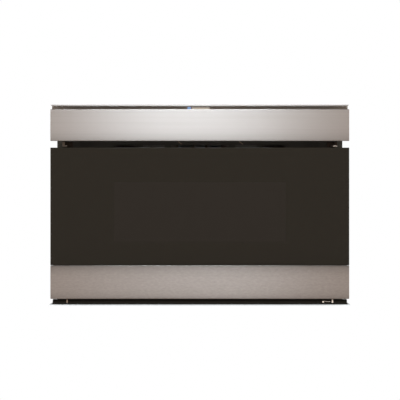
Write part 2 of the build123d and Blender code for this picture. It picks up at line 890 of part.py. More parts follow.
def transformer_core():
    """The laminated core with its two windows, standing on the base pan."""
    z_span = (casing_sheet, casing_sheet + core_height)
    core = block(around(core_x, core_width), around(core_y, core_length), z_span)
    for side in (-1, 1):
        window_x = core_x + side * (core_leg + core_window_width / 2)
        core -= block(around(window_x, core_window_width), around(core_y, core_length),
                      around(casing_sheet + core_height / 2, core_window_height))
    return core


def transformer_winding(level):
    """One winding round the middle leg of the core: 0 is the lower, 1 the upper."""
    each_height = (core_window_height - winding_gap) / 2
    low_z = casing_sheet + core_leg + level * (each_height + winding_gap)
    outer_width = 2 * (core_leg + core_window_width - winding_side_clearance)
    z_span = (low_z, low_z + each_height)
    winding = plate_z(outer_width, core_length + 2 * winding_overhang, z_span, core_x, core_y,
                      winding_corner_radius)
    return winding - block(around(core_x, 2 * core_leg), around(core_y, core_length), z_span)


def capacitor():
    """The oval capacitor can with two blade terminals."""
    top_z = casing_sheet + capacitor_height
    can = plate_z(capacitor_width, capacitor_length, (casing_sheet, top_z), capacitor_x, capacitor_y,
                  capacitor_length / 2.02)
    for side in (-1, 1):
        blade_x = capacitor_x + side * terminal_x
        can += block(around(blade_x, terminal_width), around(capacitor_y, terminal_thickness),
                     (top_z, top_z + terminal_height))
        can += rod(terminal_base_radius, (blade_x, capacitor_y, top_z + terminal_base_height / 2),
                   terminal_base_height, "Z")
    return can


def board_tray():
    """The plastic tray that carries the power board over the cavity."""
    z_span = (cavity_roof_z, cavity_roof_z + board_tray_height)
    inner_width = board_width + 2 * board_tray_gap
    inner_length = board_length + 2 * board_tray_gap
    tray = block(around(tray_board_x, inner_width + 2 * board_tray_wall),
                 around(tray_board_y, inner_length + 2 * board_tray_wall), z_span)
    tray -= block(around(tray_board_x, inner_width), around(tray_board_y, inner_length),
                  (z_span[0] + board_tray_wall, z_span[1]))
    for side_x in (-1, 1):
        for side_y in (-1, 1):
            post_x = tray_board_x + side_x * (board_width / 2 - board_post_inset)
            post_y = tray_board_y + side_y * (board_length / 2 - board_post_inset)
            tray += rod(board_post_radius, (post_x, post_y, z_span[0] + board_post_height / 2),
                        board_post_height, "Z")
    return tray


def power_board():
    """The circuit board with its relays, small transformer, capacitors and connectors."""
    low_z = cavity_roof_z + board_post_height
    top_z = low_z + board_thickness
    board = block(around(tray_board_x, board_width), around(tray_board_y, board_length), (low_z, top_z))

    def stand(offset_x, offset_y, width, length, height):
        return block(around(tray_board_x + offset_x, width), around(tray_board_y + offset_y, length),
                     (top_z, top_z + height))

    for index in range(relay_count):
        board += stand(-relay_offset, (index - relay_count / 2) * relay_pitch, relay_width, relay_length,
                       relay_height)
    board += stand(board_right_offset, -small_transformer_offset, small_transformer_width,
                   small_transformer_length, small_transformer_height)
    for index in range(board_can_count):
        can_x = tray_board_x + board_right_offset + (index - (board_can_count - 1) / 2) * board_can_pitch
        board += rod(board_can_radius, (can_x, tray_board_y, top_z + board_can_height / 2),
                     board_can_height, "Z")
    for index in range(connector_count):
        board += stand(board_right_offset, connector_offset + index * connector_pitch, connector_width,
                       connector_length, connector_height)
    return board


save("magnetron", magnetron_yoke(), magnetron_tube())
save("transformer", transformer_core(), transformer_winding(0), transformer_winding(1))
save("capacitor", capacitor())
save("power_board", board_tray(), power_board())

cutouts = []
for cutout_y in (cutout_front_y, cutout_rear_y):
    cutout = rod(cutout_radius, (cutout_x, cutout_y, cavity_roof_z + cutout_height / 2), cutout_height, "Z")
    cutout += plate_z(cutout_ear_length, cutout_ear_width, (cavity_roof_z, cavity_roof_z + cutout_ear_sheet),
                      cutout_x, cutout_y, cutout_ear_width / 2.2)
    cutouts.append(cutout)
save("thermal_cutouts", *cutouts)


# ---------------------------------------------------------------- cooling
fan_front_y = rear_panel_y - casing_sheet - fan_motor_length - fan_panel_gap - fan_blade_depth


def fan_shroud():
    """The square duct round the fan, fixed to the rear panel."""
    half = fan_radius + shroud_margin
    back = rear_panel_y - casing_sheet
    front = back - shroud_length
    shroud = block(both(half), (front, back), around(fan_axis_z, 2 * half))
    shroud -= block(both(half - shroud_sheet), (front + shroud_sheet, back),
                    around(fan_axis_z, 2 * (half - shroud_sheet)))
    shroud -= rod(fan_radius + fan_tip_clearance, (0, front, fan_axis_z), through, "Y")
    return shroud


def fan_motor():
    """The fan's motor, screwed to the inside of the rear panel."""
    back = rear_panel_y - casing_sheet
    motor = rod(fan_motor_radius, (0, back - fan_motor_length / 2, fan_axis_z), fan_motor_length, "Y")
    return motor - rod(fan_shaft_radius + shaft_clearance, (0, back - fan_motor_length, fan_axis_z),
                       2 * fan_bore_depth, "Y")


def fan_blade():
    """The axial fan: pitched blades round a hub, on a shaft."""
    centre_y = fan_front_y + fan_blade_depth / 2
    fan = rod(fan_hub_radius, (0, centre_y, fan_axis_z), fan_blade_depth, "Y")
    shaft_rear = rear_panel_y - casing_sheet - fan_motor_length + fan_shaft_reach
    fan += rod(fan_shaft_radius, (0, (centre_y + shaft_rear) / 2, fan_axis_z), shaft_rear - centre_y, "Y")
    for index in range(fan_blade_count):
        vane = block((fan_hub_radius / 2, fan_radius), both(fan_vane_thickness / 2), both(fan_vane_chord / 2))
        vane = Rot(fan_vane_pitch_angle, 0, 0) * vane
        fan += Pos(0, centre_y, fan_axis_z) * Rot(0, index * 360 / fan_blade_count, 0) * vane
    return fan


save("fan_shroud", fan_shroud())
save("fan_motor", fan_motor())
save("fan_blade", fan_blade())


# ---------------------------------------------------------------- cord gland and case screws
def cord_bushing():
    """The rubber gland in the rear panel, with its grooved body."""
    gland = rod(gland_radius, (gland_x, rear_panel_y - casing_sheet / 2, gland_z), casing_sheet, "Y")
    gland += rod(gland_radius + gland_flange,
                 (gland_x, rear_panel_y + gland_flange_thickness / 2, gland_z), gland_flange_thickness, "Y")
    gland += rod(gland_radius + gland_inner_flange,
                 (gland_x, rear_panel_y - casing_sheet - gland_inner_length / 2, gland_z),
                 gland_inner_length, "Y")
    return gland - rod(gland_bore_radius, (gland_x, rear_panel_y, gland_z), 4 * through, "Y")


def case_screw(point, direction):
    """A domed screw whose head lies on a sheet, its shank pointing along the direction."""
    head = Cylinder(screw_head_radius, screw_head_height, align=(Align.CENTER, Align.CENTER, Align.MAX))
    head = fillet(head.edges().sort_by(Axis.Z)[0], screw_edge_radius)
    slot = block(both(screw_slot_length / 2), both(screw_slot_width / 2),
                 (-screw_head_height, -screw_head_height + screw_slot_depth))
    return Plane(origin=point, z_dir=direction) * (head - slot)


screw_rear_y = rear_y - screw_inset
screw_front_y = frame_back_y + screw_inset
screws = []
for side in (-1, 1):
    for screw_y in (screw_front_y, 0.0, screw_rear_y):
        for screw_z in (screw_inset + casing_lip, casing_height / 2, casing_height - screw_inset):
            screws.append(case_screw((side * half_casing, screw_y, screw_z), (-side, 0, 0)))
        screws.append(case_screw((side * (half_casing - screw_inset), screw_y, casing_height), (0, 0, -1)))
    for screw_z in (screw_inset, casing_height / 3, casing_height - screw_inset):
        screws.append(case_screw((side * (half_casing - screw_inset), rear_panel_y, screw_z), (0, -1, 0)))
save("cord_bushing", cord_bushing())
save("case_screws", *screws)


# ---------------------------------------------------------------- running gear
def slide_x(side, depth_low, depth_high):
    """The X span between two depths, measured from the outer face of the slide inwards."""
    return side_span(side, slide_outer_x - depth_high, slide_outer_x - depth_low)


def slide_channel(side, web, lips, half_height):
    """One member of a ball-bearing slide: a web with a lip along its top and one along its bottom."""
    y_span = (slide_front_y, slide_rear_y)
    z_span = (slide_centre_z - half_height, slide_centre_z + half_height)
    member = block(slide_x(side, *web), y_span, z_span)
    member += block(slide_x(side, *lips), y_span, (z_span[0], z_span[0] + slide_sheet))
    member += block(slide_x(side, *lips), y_span, (z_span[1] - slide_sheet, z_span[1]))
    return member


outer_web = (0, slide_sheet)
middle_web = (outer_web[1] + slide_member_gap, outer_web[1] + slide_member_gap + slide_sheet)
inner_web = (slide_width - slide_sheet, slide_width)
lip_end = inner_web[0] - slide_member_gap
inner_lip_start = middle_web[1] + slide_member_gap
outer_half_height = slide_height / 2
middle_half_height = outer_half_height - slide_sheet - ball_room
inner_half_height = middle_half_height - slide_sheet - ball_room
ball_radius = (ball_room - ball_clearance - ball_seat) / 2
ball_depth = (inner_lip_start + lip_end) / 2


def ball_cage(side, up, ring):
    """A cage strip with its balls. Ring 0 runs in the outer member, ring 1 carries the inner member."""
    if ring == 0:
        height = middle_half_height + ball_seat + ball_radius
        first_y = slide_rear_y - cage_inset - ball_pitch * (ball_count - 1)
    else:
        height = middle_half_height - slide_sheet - ball_seat - ball_radius
        first_y = slide_front_y + cage_inset
    centre_z = slide_centre_z + up * height
    centre_x = side * (slide_outer_x - ball_depth)
    length = ball_pitch * (ball_count - 1)
    cage = block(around(centre_x, cage_width),
                 (first_y - cage_end_margin, first_y + length + cage_end_margin),
                 around(centre_z, cage_thickness))
    for index in range(ball_count):
        cage += Pos(centre_x, first_y + index * ball_pitch, centre_z) * Sphere(ball_radius)
    return cage


def slide_bracket(side):
    """The angle that carries the outer slide member on the base pan."""
    plate_outer = slide_outer_x + slide_bracket_sheet
    foot_outer = half_casing_inner - casing_sheet - bracket_foot_gap
    y_span = (slide_front_y, slide_rear_y)
    bracket = block(side_span(side, slide_outer_x, plate_outer), y_span,
                    (casing_sheet, slide_centre_z + slide_height / 2))
    bracket += block(side_span(side, slide_outer_x, foot_outer), y_span,
                     (casing_sheet, casing_sheet + slide_bracket_sheet))
    return bracket


def drawer_arm(side):
    """The steel arm that carries the door, tub and rack on the inner slide member."""
    arm = block(side_span(side, arm_inner_x, arm_outer_x), (door_back_y, arm_rear_y),
                (arm_low_z, arm_top_z))
    arm += block(side_span(side, arm_outer_x - arm_foot, arm_outer_x), (door_back_y, door_back_y + arm_sheet),
                 (arm_low_z, arm_top_z))
    return arm


def drive_rack(side):
    """The toothed rack along the inner face of an arm, its teeth pointing down."""
    pitch = math.pi * rack_tooth_height
    half_thickness = pitch / 4 - tooth_thinning / 2
    slope = math.tan(pressure_angle)
    tip_z = rack_pitch_z - rack_tooth_height
    root_z = rack_pitch_z + rack_tooth_height * tooth_root_ratio
    tip_half = half_thickness - rack_tooth_height * slope
    root_half = half_thickness + rack_tooth_height * tooth_root_ratio * slope
    rear_teeth = math.ceil(drawer_travel / pitch) + rack_spare_teeth
    points = []
    for tooth in range(-rack_spare_teeth, rear_teeth):
        middle = shaft_y + (tooth + 0.5) * pitch
        points += [(middle - root_half, root_z), (middle - tip_half, tip_z)]
        points += [(middle + tip_half, tip_z), (middle + root_half, root_z)]
    first_y = points[0][0] - rack_end_margin
    last_y = points[-1][0] + rack_end_margin
    top_z = root_z + rack_back
    outline = [(first_y, top_z), (first_y, root_z)] + points + [(last_y, root_z), (last_y, top_z)]
    return profile_along_x(outline, side_span(side, arm_inner_x - rack_width, arm_inner_x))


outer_slides = [slide_channel(side, outer_web, (0, lip_end), outer_half_height) for side in (-1, 1)]
middle_slides = []
for side in (-1, 1):
    middle_slides.append(slide_channel(side, middle_web, (middle_web[0], lip_end), middle_half_height))
inner_slides = [slide_channel(side, inner_web, (inner_lip_start, slide_width), inner_half_height)
                for side in (-1, 1)]
cages = [ball_cage(side, up, ring) for side in (-1, 1) for up in (-1, 1) for ring in (0, 1)]
save("slide_brackets", slide_bracket(-1), slide_bracket(1))
save("outer_slides", *outer_slides)
save("middle_slides", *middle_slides)
save("inner_slides", *inner_slides)
save("ball_cages", *cages)
save("drawer_arms", drawer_arm(-1), drawer_arm(1))
save("drive_racks", drive_rack(-1), drive_rack(1))


# ---------------------------------------------------------------- drive
def shaft_bearing(side):
    """A plastic block on the base pan that carries the cross shaft."""
    centre_x = side * (arm_inner_x - rack_width - bearing_inset)
    top_z = shaft_z + shaft_radius + bearing_wall
    bearing = block(around(centre_x, bearing_width), around(shaft_y, bearing_length), (casing_sheet, top_z))
    bearing = fillet(bearing.edges().filter_by(Axis.X).group_by(Axis.Z)[-1], bearing_corner_radius)
    return bearing - rod(shaft_radius + shaft_clearance, (centre_x, shaft_y, shaft_z), bearing_width, "X")


def cross_shaft():
    """The steel shaft that turns both rack pinions together."""
    half = arm_inner_x - shaft_end_clearance
    shaft = rod(shaft_radius, (0, shaft_y, shaft_z), 2 * half, "X")
    ends = shaft.edges().filter_by(GeomType.CIRCLE)
    return chamfer(ends, shaft_end_chamfer)


def rack_pinion(side):
    """The pinion under one rack, one of its teeth pointing straight up."""
    gear = spur_gear(rack_tooth_height, rack_pinion_teeth, pinion_width, shaft_radius, math.pi / 2)
    centre_x = side * (arm_inner_x - rack_width + pinion_width / 2)
    return Pos(centre_x, shaft_y, shaft_z) * gear


def drive_gear():
    """The large gear on the cross shaft, with lightening holes round its hub."""
    gear = spur_gear(drive_tooth_height, drive_gear_teeth, drive_gear_width, shaft_radius, 0)
    hole_ring = (drive_gear_radius + shaft_radius) / 2
    for index in range(gear_hole_count):
        angle = 2 * math.pi * index / gear_hole_count
        centre = (0, hole_ring * math.cos(angle), hole_ring * math.sin(angle))
        gear -= rod(gear_hole_radius, centre, drive_gear_width, "X")
    return Pos(drive_gear_x, shaft_y, shaft_z) * gear


gearbox_right_x = drive_gear_x - drive_gear_width / 2 - gearbox_gap


def motor_pinion():
    """The pinion on the gearmotor's output shaft, a gap between two teeth facing the drive gear."""
    gap_angle = math.pi + math.pi / motor_pinion_teeth
    gear = spur_gear(drive_tooth_height, motor_pinion_teeth, motor_pinion_width, motor_shaft_radius, gap_angle)
    gear = Pos(drive_gear_x, motor_y, shaft_z) * gear
    shaft_right = drive_gear_x + drive_gear_width / 2 + 1
    shaft_left = gearbox_right_x - motor_shaft_reach
    shaft = rod(motor_shaft_radius, ((shaft_left + shaft_right) / 2, motor_y, shaft_z),
                shaft_right - shaft_left, "X")
    return gear + shaft


def drive_motor():
    """The gearmotor: a gearbox on four feet, with the motor can behind it."""
    box_x = (gearbox_right_x - gearbox_width, gearbox_right_x)
    low_z = shaft_z - gearbox_height / 2
    body = block(box_x, around(motor_y, gearbox_length), (low_z, low_z + gearbox_height))
    body = fillet(body.edges().filter_by(Axis.X), gearbox_corner_radius)
    can_x = (box_x[0] - motor_can_length, box_x[0])
    body += rod(motor_can_radius, ((can_x[0] + can_x[1]) / 2, motor_y, shaft_z), motor_can_length, "X")
    body += rod(motor_boss_radius, (can_x[0] - motor_boss_length / 2, motor_y, shaft_z),
                motor_boss_length, "X")
    foot_top_z = low_z + gearbox_corner_radius
    foot_reach = gearbox_length / 2 - motor_foot_inset
    for foot_x in (box_x[0] + motor_foot_inset, box_x[1] - motor_foot_inset):
        for foot_y in (motor_y - foot_reach, motor_y + foot_reach):
            body += rod(motor_foot_radius, (foot_x, foot_y, (casing_sheet + foot_top_z) / 2),
                        foot_top_z - casing_sheet, "Z")
    return body - rod(motor_shaft_radius + shaft_clearance, (gearbox_right_x, motor_y, shaft_z),
                      2 * motor_bore_depth, "X")


save("shaft_bearings", shaft_bearing(-1), shaft_bearing(1))
save("cross_shaft", cross_shaft())
save("rack_pinions", rack_pinion(-1), rack_pinion(1))
save("drive_gear", drive_gear())
save("motor_pinion", motor_pinion())
save("drive_motor", drive_motor())


# ---------------------------------------------------------------- door
def front_pan(z_span, depth):
    """A stainless sheet with its four edges turned back, its long front edges rounded."""
    pan = block(both(half_width), (front_y, front_y + depth), z_span)
    long_edges = pan.edges().filter_by(Axis.X).group_by(Axis.Y)[0]
    pan = fillet(long_edges, bend_radius)
    hollow_z = (z_span[0] + front_sheet, z_span[1] - front_sheet)
    pan -= block(both(half_width - front_sheet), (front_y + front_sheet, front_y + depth), hollow_z)
    return pan


def door_glass():
    """The black front glass, with ground edges."""
    glass = block(both(half_width), (glass_front_y, glass_back_y), (glass_low_z, door_top_z))
    return chamfer(glass.edges().group_by(Axis.Y)[0], ground_edge)


def door_frame():
    """The steel pan behind the glass and the lower band, with the window's opening in its back."""
    half = half_width - door_frame_margin
    z_span = (door_low_z + door_frame_edge_margin, door_top_z - door_frame_edge_margin)
    y_span = (glass_back_y, door_back_y)
    frame = block(both(half), y_span, z_span)
    inner = half - door_frame_sheet
    inner_z = (z_span[0] + door_frame_sheet, z_span[1] - door_frame_sheet)
    frame -= block(both(inner), (y_span[0] + door_frame_sheet, y_span[1] - door_frame_sheet), inner_z)
    frame -= block(both(half - door_flange), around(y_span[0], through),
                   (z_span[0] + door_flange, z_span[1] - door_flange))
    frame -= block(both(window_width / 2), around(y_span[1], through),
                   (window_low_z, window_low_z + window_height))
    return frame


def choke_ring(inner_margin, width, y_span):
    """A rectangular ring round the mouth of the cavity."""
    inner_x = half_cavity + inner_margin
    inner_z = (cavity_floor_z - inner_margin, cavity_top_z + inner_margin)
    ring = block(both(inner_x + width), y_span, (inner_z[0] - width, inner_z[1] + width))
    return ring - block(both(inner_x), y_span, inner_z)


def choke_frame():
    """The channel that stops microwaves at the door, open towards the cavity."""
    ring = choke_ring(choke_mouth_margin, choke_width, (door_back_y, choke_back_y))
    groove = choke_ring(choke_mouth_margin + choke_sheet, choke_width - 2 * choke_sheet,
                        (door_back_y + choke_sheet, choke_back_y))
    return ring - groove


save("door_glass", door_glass())
save("door_lower_band", front_pan((door_low_z, band_top_z), glass_back_y - front_y))
save("door_frame", door_frame())
screen_back_y = door_back_y - door_frame_sheet
window_z_span = (window_low_z - screen_overlap, window_low_z + window_height + screen_overlap)
window_half = window_width / 2 + screen_overlap
inner_window_y_span = (door_back_y, door_back_y + inner_window_thickness)
choke_cover_y_span = (choke_back_y, choke_back_y + choke_cover_thickness)
screen_y_span = (screen_back_y - screen_thickness, screen_back_y)
save("door_screen", block(both(window_half), screen_y_span, window_z_span))
save("door_inner_window", block(both(window_half), inner_window_y_span, window_z_span))
save("choke_frame", choke_frame())
save("choke_cover", choke_ring(choke_mouth_margin, choke_width, choke_cover_y_span))


# ---------------------------------------------------------------- drawer tub
def drawer_tub():
    """The open box that holds the food, its front closed by the door, with two glides under its rear."""
    y_span = (door_back_y, tub_rear_y)
    tub = block(both(half_tub), y_span, (tub_low_z, tub_top_z))
    rear_corners = tub.edges().filter_by(Axis.Z).group_by(Axis.Y)[-1]
    tub = fillet(rear_corners, tub_corner_radius)
    hollow = block(both(half_tub - tub_sheet), (y_span[0], tub_rear_y - tub_sheet),
                   (tub_low_z + tub_sheet, tub_top_z - tub_sheet))
    hollow = fillet(hollow.edges().filter_by(Axis.Z).group_by(Axis.Y)[-1], tub_corner_radius - tub_sheet)
    mouth = block(both(half_tub - tub_rim), (y_span[0], tub_rear_y - tub_rim), around(tub_top_z, through))
    mouth = fillet(mouth.edges().filter_by(Axis.Z).group_by(Axis.Y)[-1], tub_mouth_radius)
    tub = tub - hollow - mouth
    for side in (-1, 1):
        tub += plate_z(glide_size, glide_depth, (cavity_floor_z + glide_clearance, tub_low_z + tub_sheet / 2),
                       side * glide_x, tub_rear_y - glide_inset, glide_corner_radius)
    return tub


tray_half = half_tub - tub_sheet - tray_clearance
tray_y_span = (door_back_y + inner_window_thickness + tray_clearance, tub_rear_y - tub_sheet - tray_clearance)
tray_low_z = tub_low_z + tub_sheet
tray_z_span = (tray_low_z, tray_low_z + tray_thickness)
tub_tray = plate_z(2 * tray_half, tray_y_span[1] - tray_y_span[0], tray_z_span, 0, sum(tray_y_span) / 2,
                   tray_corner_radius)
save("drawer_tub", drawer_tub())
save("tub_tray", tub_tray)


# ---------------------------------------------------------------- interlock
switch_front_y = frame_back_y + switch_front_gap
plunger_tip_y = switch_front_y - plunger_reach
hook_tip_y = plunger_tip_y - plunger_gap


def latch_hook(hook_z):
    """A plastic latch hook on the back of the door."""
    shank = block(around(hook_x, hook_width), (door_back_y, hook_tip_y), around(hook_z, hook_height))
    foot = block(around(hook_x, 2 * hook_width), (door_back_y, door_back_y + hook_foot_thickness),
                 around(hook_z, 2 * hook_height))
    notch_rear_y = hook_tip_y - hook_nose_length
    notch = block(around(hook_x, hook_width), (notch_rear_y - hook_notch_length, notch_rear_y),
                  (hook_z + hook_height / 4, hook_z + hook_height))
    return shank + foot - notch


def switch_plunger(hook_z):
    """The round plunger of one switch, its tip just short of the hook."""
    rear = switch_front_y + plunger_bore_depth - plunger_travel - plunger_end_clearance
    plunger = rod(plunger_radius, (hook_x, (plunger_tip_y + rear) / 2, hook_z), rear - plunger_tip_y, "Y")
    return fillet(plunger.edges().group_by(Axis.Y)[0], plunger_radius / 3)


def interlock_switch(hook_z):
    """A snap switch with the bore that its plunger runs in."""
    outer_x = hook_x + switch_width / 2
    body = block((outer_x - switch_width, outer_x), (switch_front_y, switch_front_y + switch_length),
                 around(hook_z, switch_height))
    body = fillet(body.edges().filter_by(Axis.X), 1)
    rear_y_here = switch_front_y + switch_length
    for index in (-1, 0, 1):
        body += block(around(hook_x, blade_thickness), (rear_y_here, rear_y_here + blade_length),
                      around(hook_z + index * blade_pitch, blade_width))
    return body - rod(plunger_radius + plunger_clearance, (hook_x, switch_front_y, hook_z),
                      2 * plunger_bore_depth, "Y")


def interlock_bracket():
    """The angle that carries both switches on the back of the front frame."""
    inner_x = hook_x + switch_width / 2
    z_span = (hook_low_z - interlock_end_margin, hook_low_z + hook_spacing + interlock_end_margin)
    bracket = block((inner_x, inner_x + interlock_sheet), (frame_back_y, switch_front_y + switch_length),
                    z_span)
    bracket += block((inner_x, half_casing_inner - interlock_sheet),
                     (frame_back_y, frame_back_y + interlock_sheet), z_span)
    return bracket


hook_heights = (hook_low_z, hook_low_z + hook_spacing)
save("latch_hooks", *[latch_hook(hook_z) for hook_z in hook_heights])
save("interlock_switches", *[interlock_switch(hook_z) for hook_z in hook_heights])
save("switch_plunger_lower", switch_plunger(hook_heights[0]))
save("switch_plunger_upper", switch_plunger(hook_heights[1]))
save("interlock_bracket", interlock_bracket())


# ---------------------------------------------------------------- control panel
housing_top_z = panel_top_z - touch_glass_thickness
housing_low_z = panel_low_z + front_sheet + housing_edge_clearance
housing_front_y = front_y + front_sheet
bracket_inner_x = half_housing + panel_bracket_gap


def panel_fascia():
    """The stainless front of the control panel, with a faint fold along its top and edges turned back."""
    fold_z = panel_top_z - panel_fold_height
    slant_y = front_y + panel_fold_setback
    back = front_y + panel_return
    lip_y = front_y + panel_fold_setback + panel_lip_depth
    outline = [(front_y, panel_low_z), (front_y, fold_z), (slant_y, panel_top_z), (lip_y, panel_top_z),
               (lip_y, panel_top_z - front_sheet), (slant_y + front_sheet, panel_top_z - front_sheet),
               (front_y + front_sheet, fold_z), (front_y + front_sheet, panel_low_z + front_sheet),
               (back, panel_low_z + front_sheet), (back, panel_low_z)]
    fascia = profile_along_x(outline, both(half_width))
    for side in (-1, 1):
        end = [(front_y, panel_low_z), (front_y, fold_z), (slant_y, panel_top_z), (back, panel_top_z),
               (back, panel_low_z)]
        fascia += profile_along_x(end, side_span(side, half_width - front_sheet, half_width))
    return fascia


def panel_housing():
    """The plastic box behind the fascia, open at the front, with a well for the display in its top."""
    y_span = (housing_front_y, panel_rear_y)
    z_span = (housing_low_z, housing_top_z)
    housing = block(both(half_housing), y_span, z_span)
    hollow_z = (z_span[0] + housing_wall, z_span[1] - housing_wall)
    housing -= block(both(half_housing - housing_wall), (y_span[0], y_span[1] - housing_wall), hollow_z)
    notch_low_z = panel_top_z - panel_fold_height - housing_notch_drop
    housing -= block(both(half_housing), (y_span[0], y_span[0] + housing_front_notch),
                     (notch_low_z, z_span[1]))
    for side in (-1, 1):
        boss_x = side * (half_housing - housing_boss_length / 2)
        housing += rod(panel_pin_radius + housing_boss_wall, (boss_x, panel_axis_y, panel_axis_z),
                       housing_boss_length, "X")
        housing -= rod(panel_pin_radius + panel_pin_clearance,
                       (side * half_housing, panel_axis_y, panel_axis_z), 3 * housing_boss_length, "X")
    housing -= block(both(display_width / 2), around(display_y, display_depth),
                     around(housing_top_z, through))
    rib_y = (y_span[1] - housing_wall / 2 - housing_rib_depth, y_span[1] - housing_wall / 2)
    for index in range(housing_rib_count):
        rib_x = (half_housing - housing_rib_inset) * (2 * index / (housing_rib_count - 1) - 1)
        housing += block(around(rib_x, housing_wall), rib_y,
                         (z_span[0] + housing_wall / 2, z_span[1] - housing_rib_top_gap))
    return housing


glass_top_y_span = (front_y + panel_fold_setback + panel_lip_depth + touch_glass_gap, panel_rear_y)
display_y = sum(glass_top_y_span) / 2
touch_glass = plate_z(2 * (half_housing - touch_glass_margin), glass_top_y_span[1] - glass_top_y_span[0],
                      (housing_top_z, panel_top_z), 0, display_y, touch_glass_margin)
display_board = block(both(display_width / 2), around(display_y, display_depth),
                      (housing_top_z - display_height, housing_top_z))
display_board += block(both(half_housing - board_end_margin), around(display_y + 1, display_depth + 4),
                       (housing_top_z - housing_wall - board_thickness, housing_top_z - housing_wall))


def panel_bracket(side):
    """The J-shaped bracket on the front frame, with the riveted pin that one end of the panel turns on."""
    outer_x = bracket_inner_x + panel_bracket_sheet
    low_z = panel_axis_z - panel_bracket_drop
    top_z = panel_axis_z + panel_bracket_rise
    front_edge_y = panel_axis_y - panel_bracket_reach
    ear_x = side_span(side, bracket_inner_x, outer_x)
    ear_radius = panel_pin_radius + panel_ear_wall
    bracket = block(ear_x, (panel_axis_y, frame_front_y), (low_z, panel_axis_z + ear_radius))
    bracket += block(ear_x, (panel_axis_y + 2 * ear_radius, frame_front_y), (low_z, top_z))
    bracket += rod(ear_radius, (sum(ear_x) / 2, panel_axis_y, panel_axis_z), panel_bracket_sheet, "X")
    bracket += block(side_span(side, outer_x - panel_bracket_width, outer_x), (front_edge_y, frame_front_y),
                     (low_z, low_z + panel_bracket_sheet))
    bracket += block(side_span(side, outer_x - panel_bracket_lip, outer_x), (front_edge_y, panel_axis_y),
                     (low_z, panel_axis_z - panel_pin_radius - panel_bracket_reach))
    bracket += block(side_span(side, outer_x - panel_bracket_width - panel_tab_width, outer_x),
                     (frame_front_y - panel_tab_sheet, frame_front_y), (low_z, low_z + panel_tab_height))
    pin_span = side_span(side, half_housing - panel_pin_reach, outer_x + panel_pin_head)
    bracket += rod(panel_pin_radius, (sum(pin_span) / 2, panel_axis_y, panel_axis_z),
                   pin_span[1] - pin_span[0], "X")
    return bracket


save("panel_fascia", panel_fascia())
save("panel_housing", panel_housing())
save("touch_glass", touch_glass)
save("display_board", display_board)
save("panel_brackets", panel_bracket(-1), panel_bracket(1))
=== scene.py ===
import json
import math

import bmesh
import bpy
from mathutils import Matrix, Vector


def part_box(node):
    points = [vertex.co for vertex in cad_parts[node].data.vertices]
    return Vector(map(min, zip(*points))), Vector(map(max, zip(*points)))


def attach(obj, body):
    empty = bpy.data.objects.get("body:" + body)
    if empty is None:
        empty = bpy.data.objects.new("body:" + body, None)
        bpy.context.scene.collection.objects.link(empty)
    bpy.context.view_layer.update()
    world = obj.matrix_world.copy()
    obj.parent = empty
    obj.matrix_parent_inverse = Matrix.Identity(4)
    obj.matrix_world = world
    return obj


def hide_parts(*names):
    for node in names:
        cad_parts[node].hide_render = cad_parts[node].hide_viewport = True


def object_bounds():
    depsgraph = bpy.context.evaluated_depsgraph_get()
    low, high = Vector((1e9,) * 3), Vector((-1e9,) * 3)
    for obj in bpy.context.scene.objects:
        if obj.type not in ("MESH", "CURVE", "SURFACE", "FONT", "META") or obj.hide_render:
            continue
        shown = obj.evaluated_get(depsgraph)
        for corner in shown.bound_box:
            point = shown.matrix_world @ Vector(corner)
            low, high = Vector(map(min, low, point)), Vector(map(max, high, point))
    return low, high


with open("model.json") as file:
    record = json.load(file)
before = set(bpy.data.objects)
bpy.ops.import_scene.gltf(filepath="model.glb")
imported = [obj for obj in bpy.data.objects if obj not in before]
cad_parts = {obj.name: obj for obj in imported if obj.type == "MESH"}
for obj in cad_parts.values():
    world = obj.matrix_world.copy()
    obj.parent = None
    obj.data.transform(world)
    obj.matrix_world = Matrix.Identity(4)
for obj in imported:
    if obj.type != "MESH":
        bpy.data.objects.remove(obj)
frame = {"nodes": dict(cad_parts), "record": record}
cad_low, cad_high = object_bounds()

bl_info = {
    "name": "Microwave Drawer Looks",
    "version": (1, 0, 0),
    "blender": (4, 5, 0),
    "location": "3D View > Sidebar > Drawer",
    "description": "Dresses the built-in microwave drawer: folded steel, printed glass, casing and inner parts",
    "category": "Object",
}

MM = 0.001
BLACK, WHITE = (0, 0, 0), (1, 1, 1)
AXES = {"X": Vector((1, 0, 0)), "Y": Vector((0, 1, 0)), "Z": Vector((0, 0, 1))}


# -------- settings
def linear(red, green, blue):
    """A colour given as screen values from 0 to 255, as Blender's linear values."""
    shares = (red / 255, green / 255, blue / 255)
    return tuple(share / 12.92 if share <= 0.04045 else ((share + 0.055) / 1.055) ** 2.4 for share in shares)


def scaled(tone, red, green=None, blue=None):
    """A colour with its channels multiplied by one share or by three."""
    return (tone[0] * red, tone[1] * (green or red), tone[2] * (blue or red))


def lighter(tone, share):
    """A lighter version of a colour, for its worn edges."""
    return tuple(min(1.0, share * value + 0.01) for value in tone)


def tone_setting(name, description, *screen_values):
    """A colour that a user can change."""
    return bpy.props.FloatVectorProperty(name=name, description=description, default=linear(*screen_values),
                                         subtype="COLOR", size=3, min=0, max=1)


def size_setting(name, description, default, low, high):
    """A length that a user can change, given in millimetres."""
    return bpy.props.FloatProperty(name=name, description=description, default=default * MM, min=low * MM,
                                   max=high * MM, unit="LENGTH", precision=5)


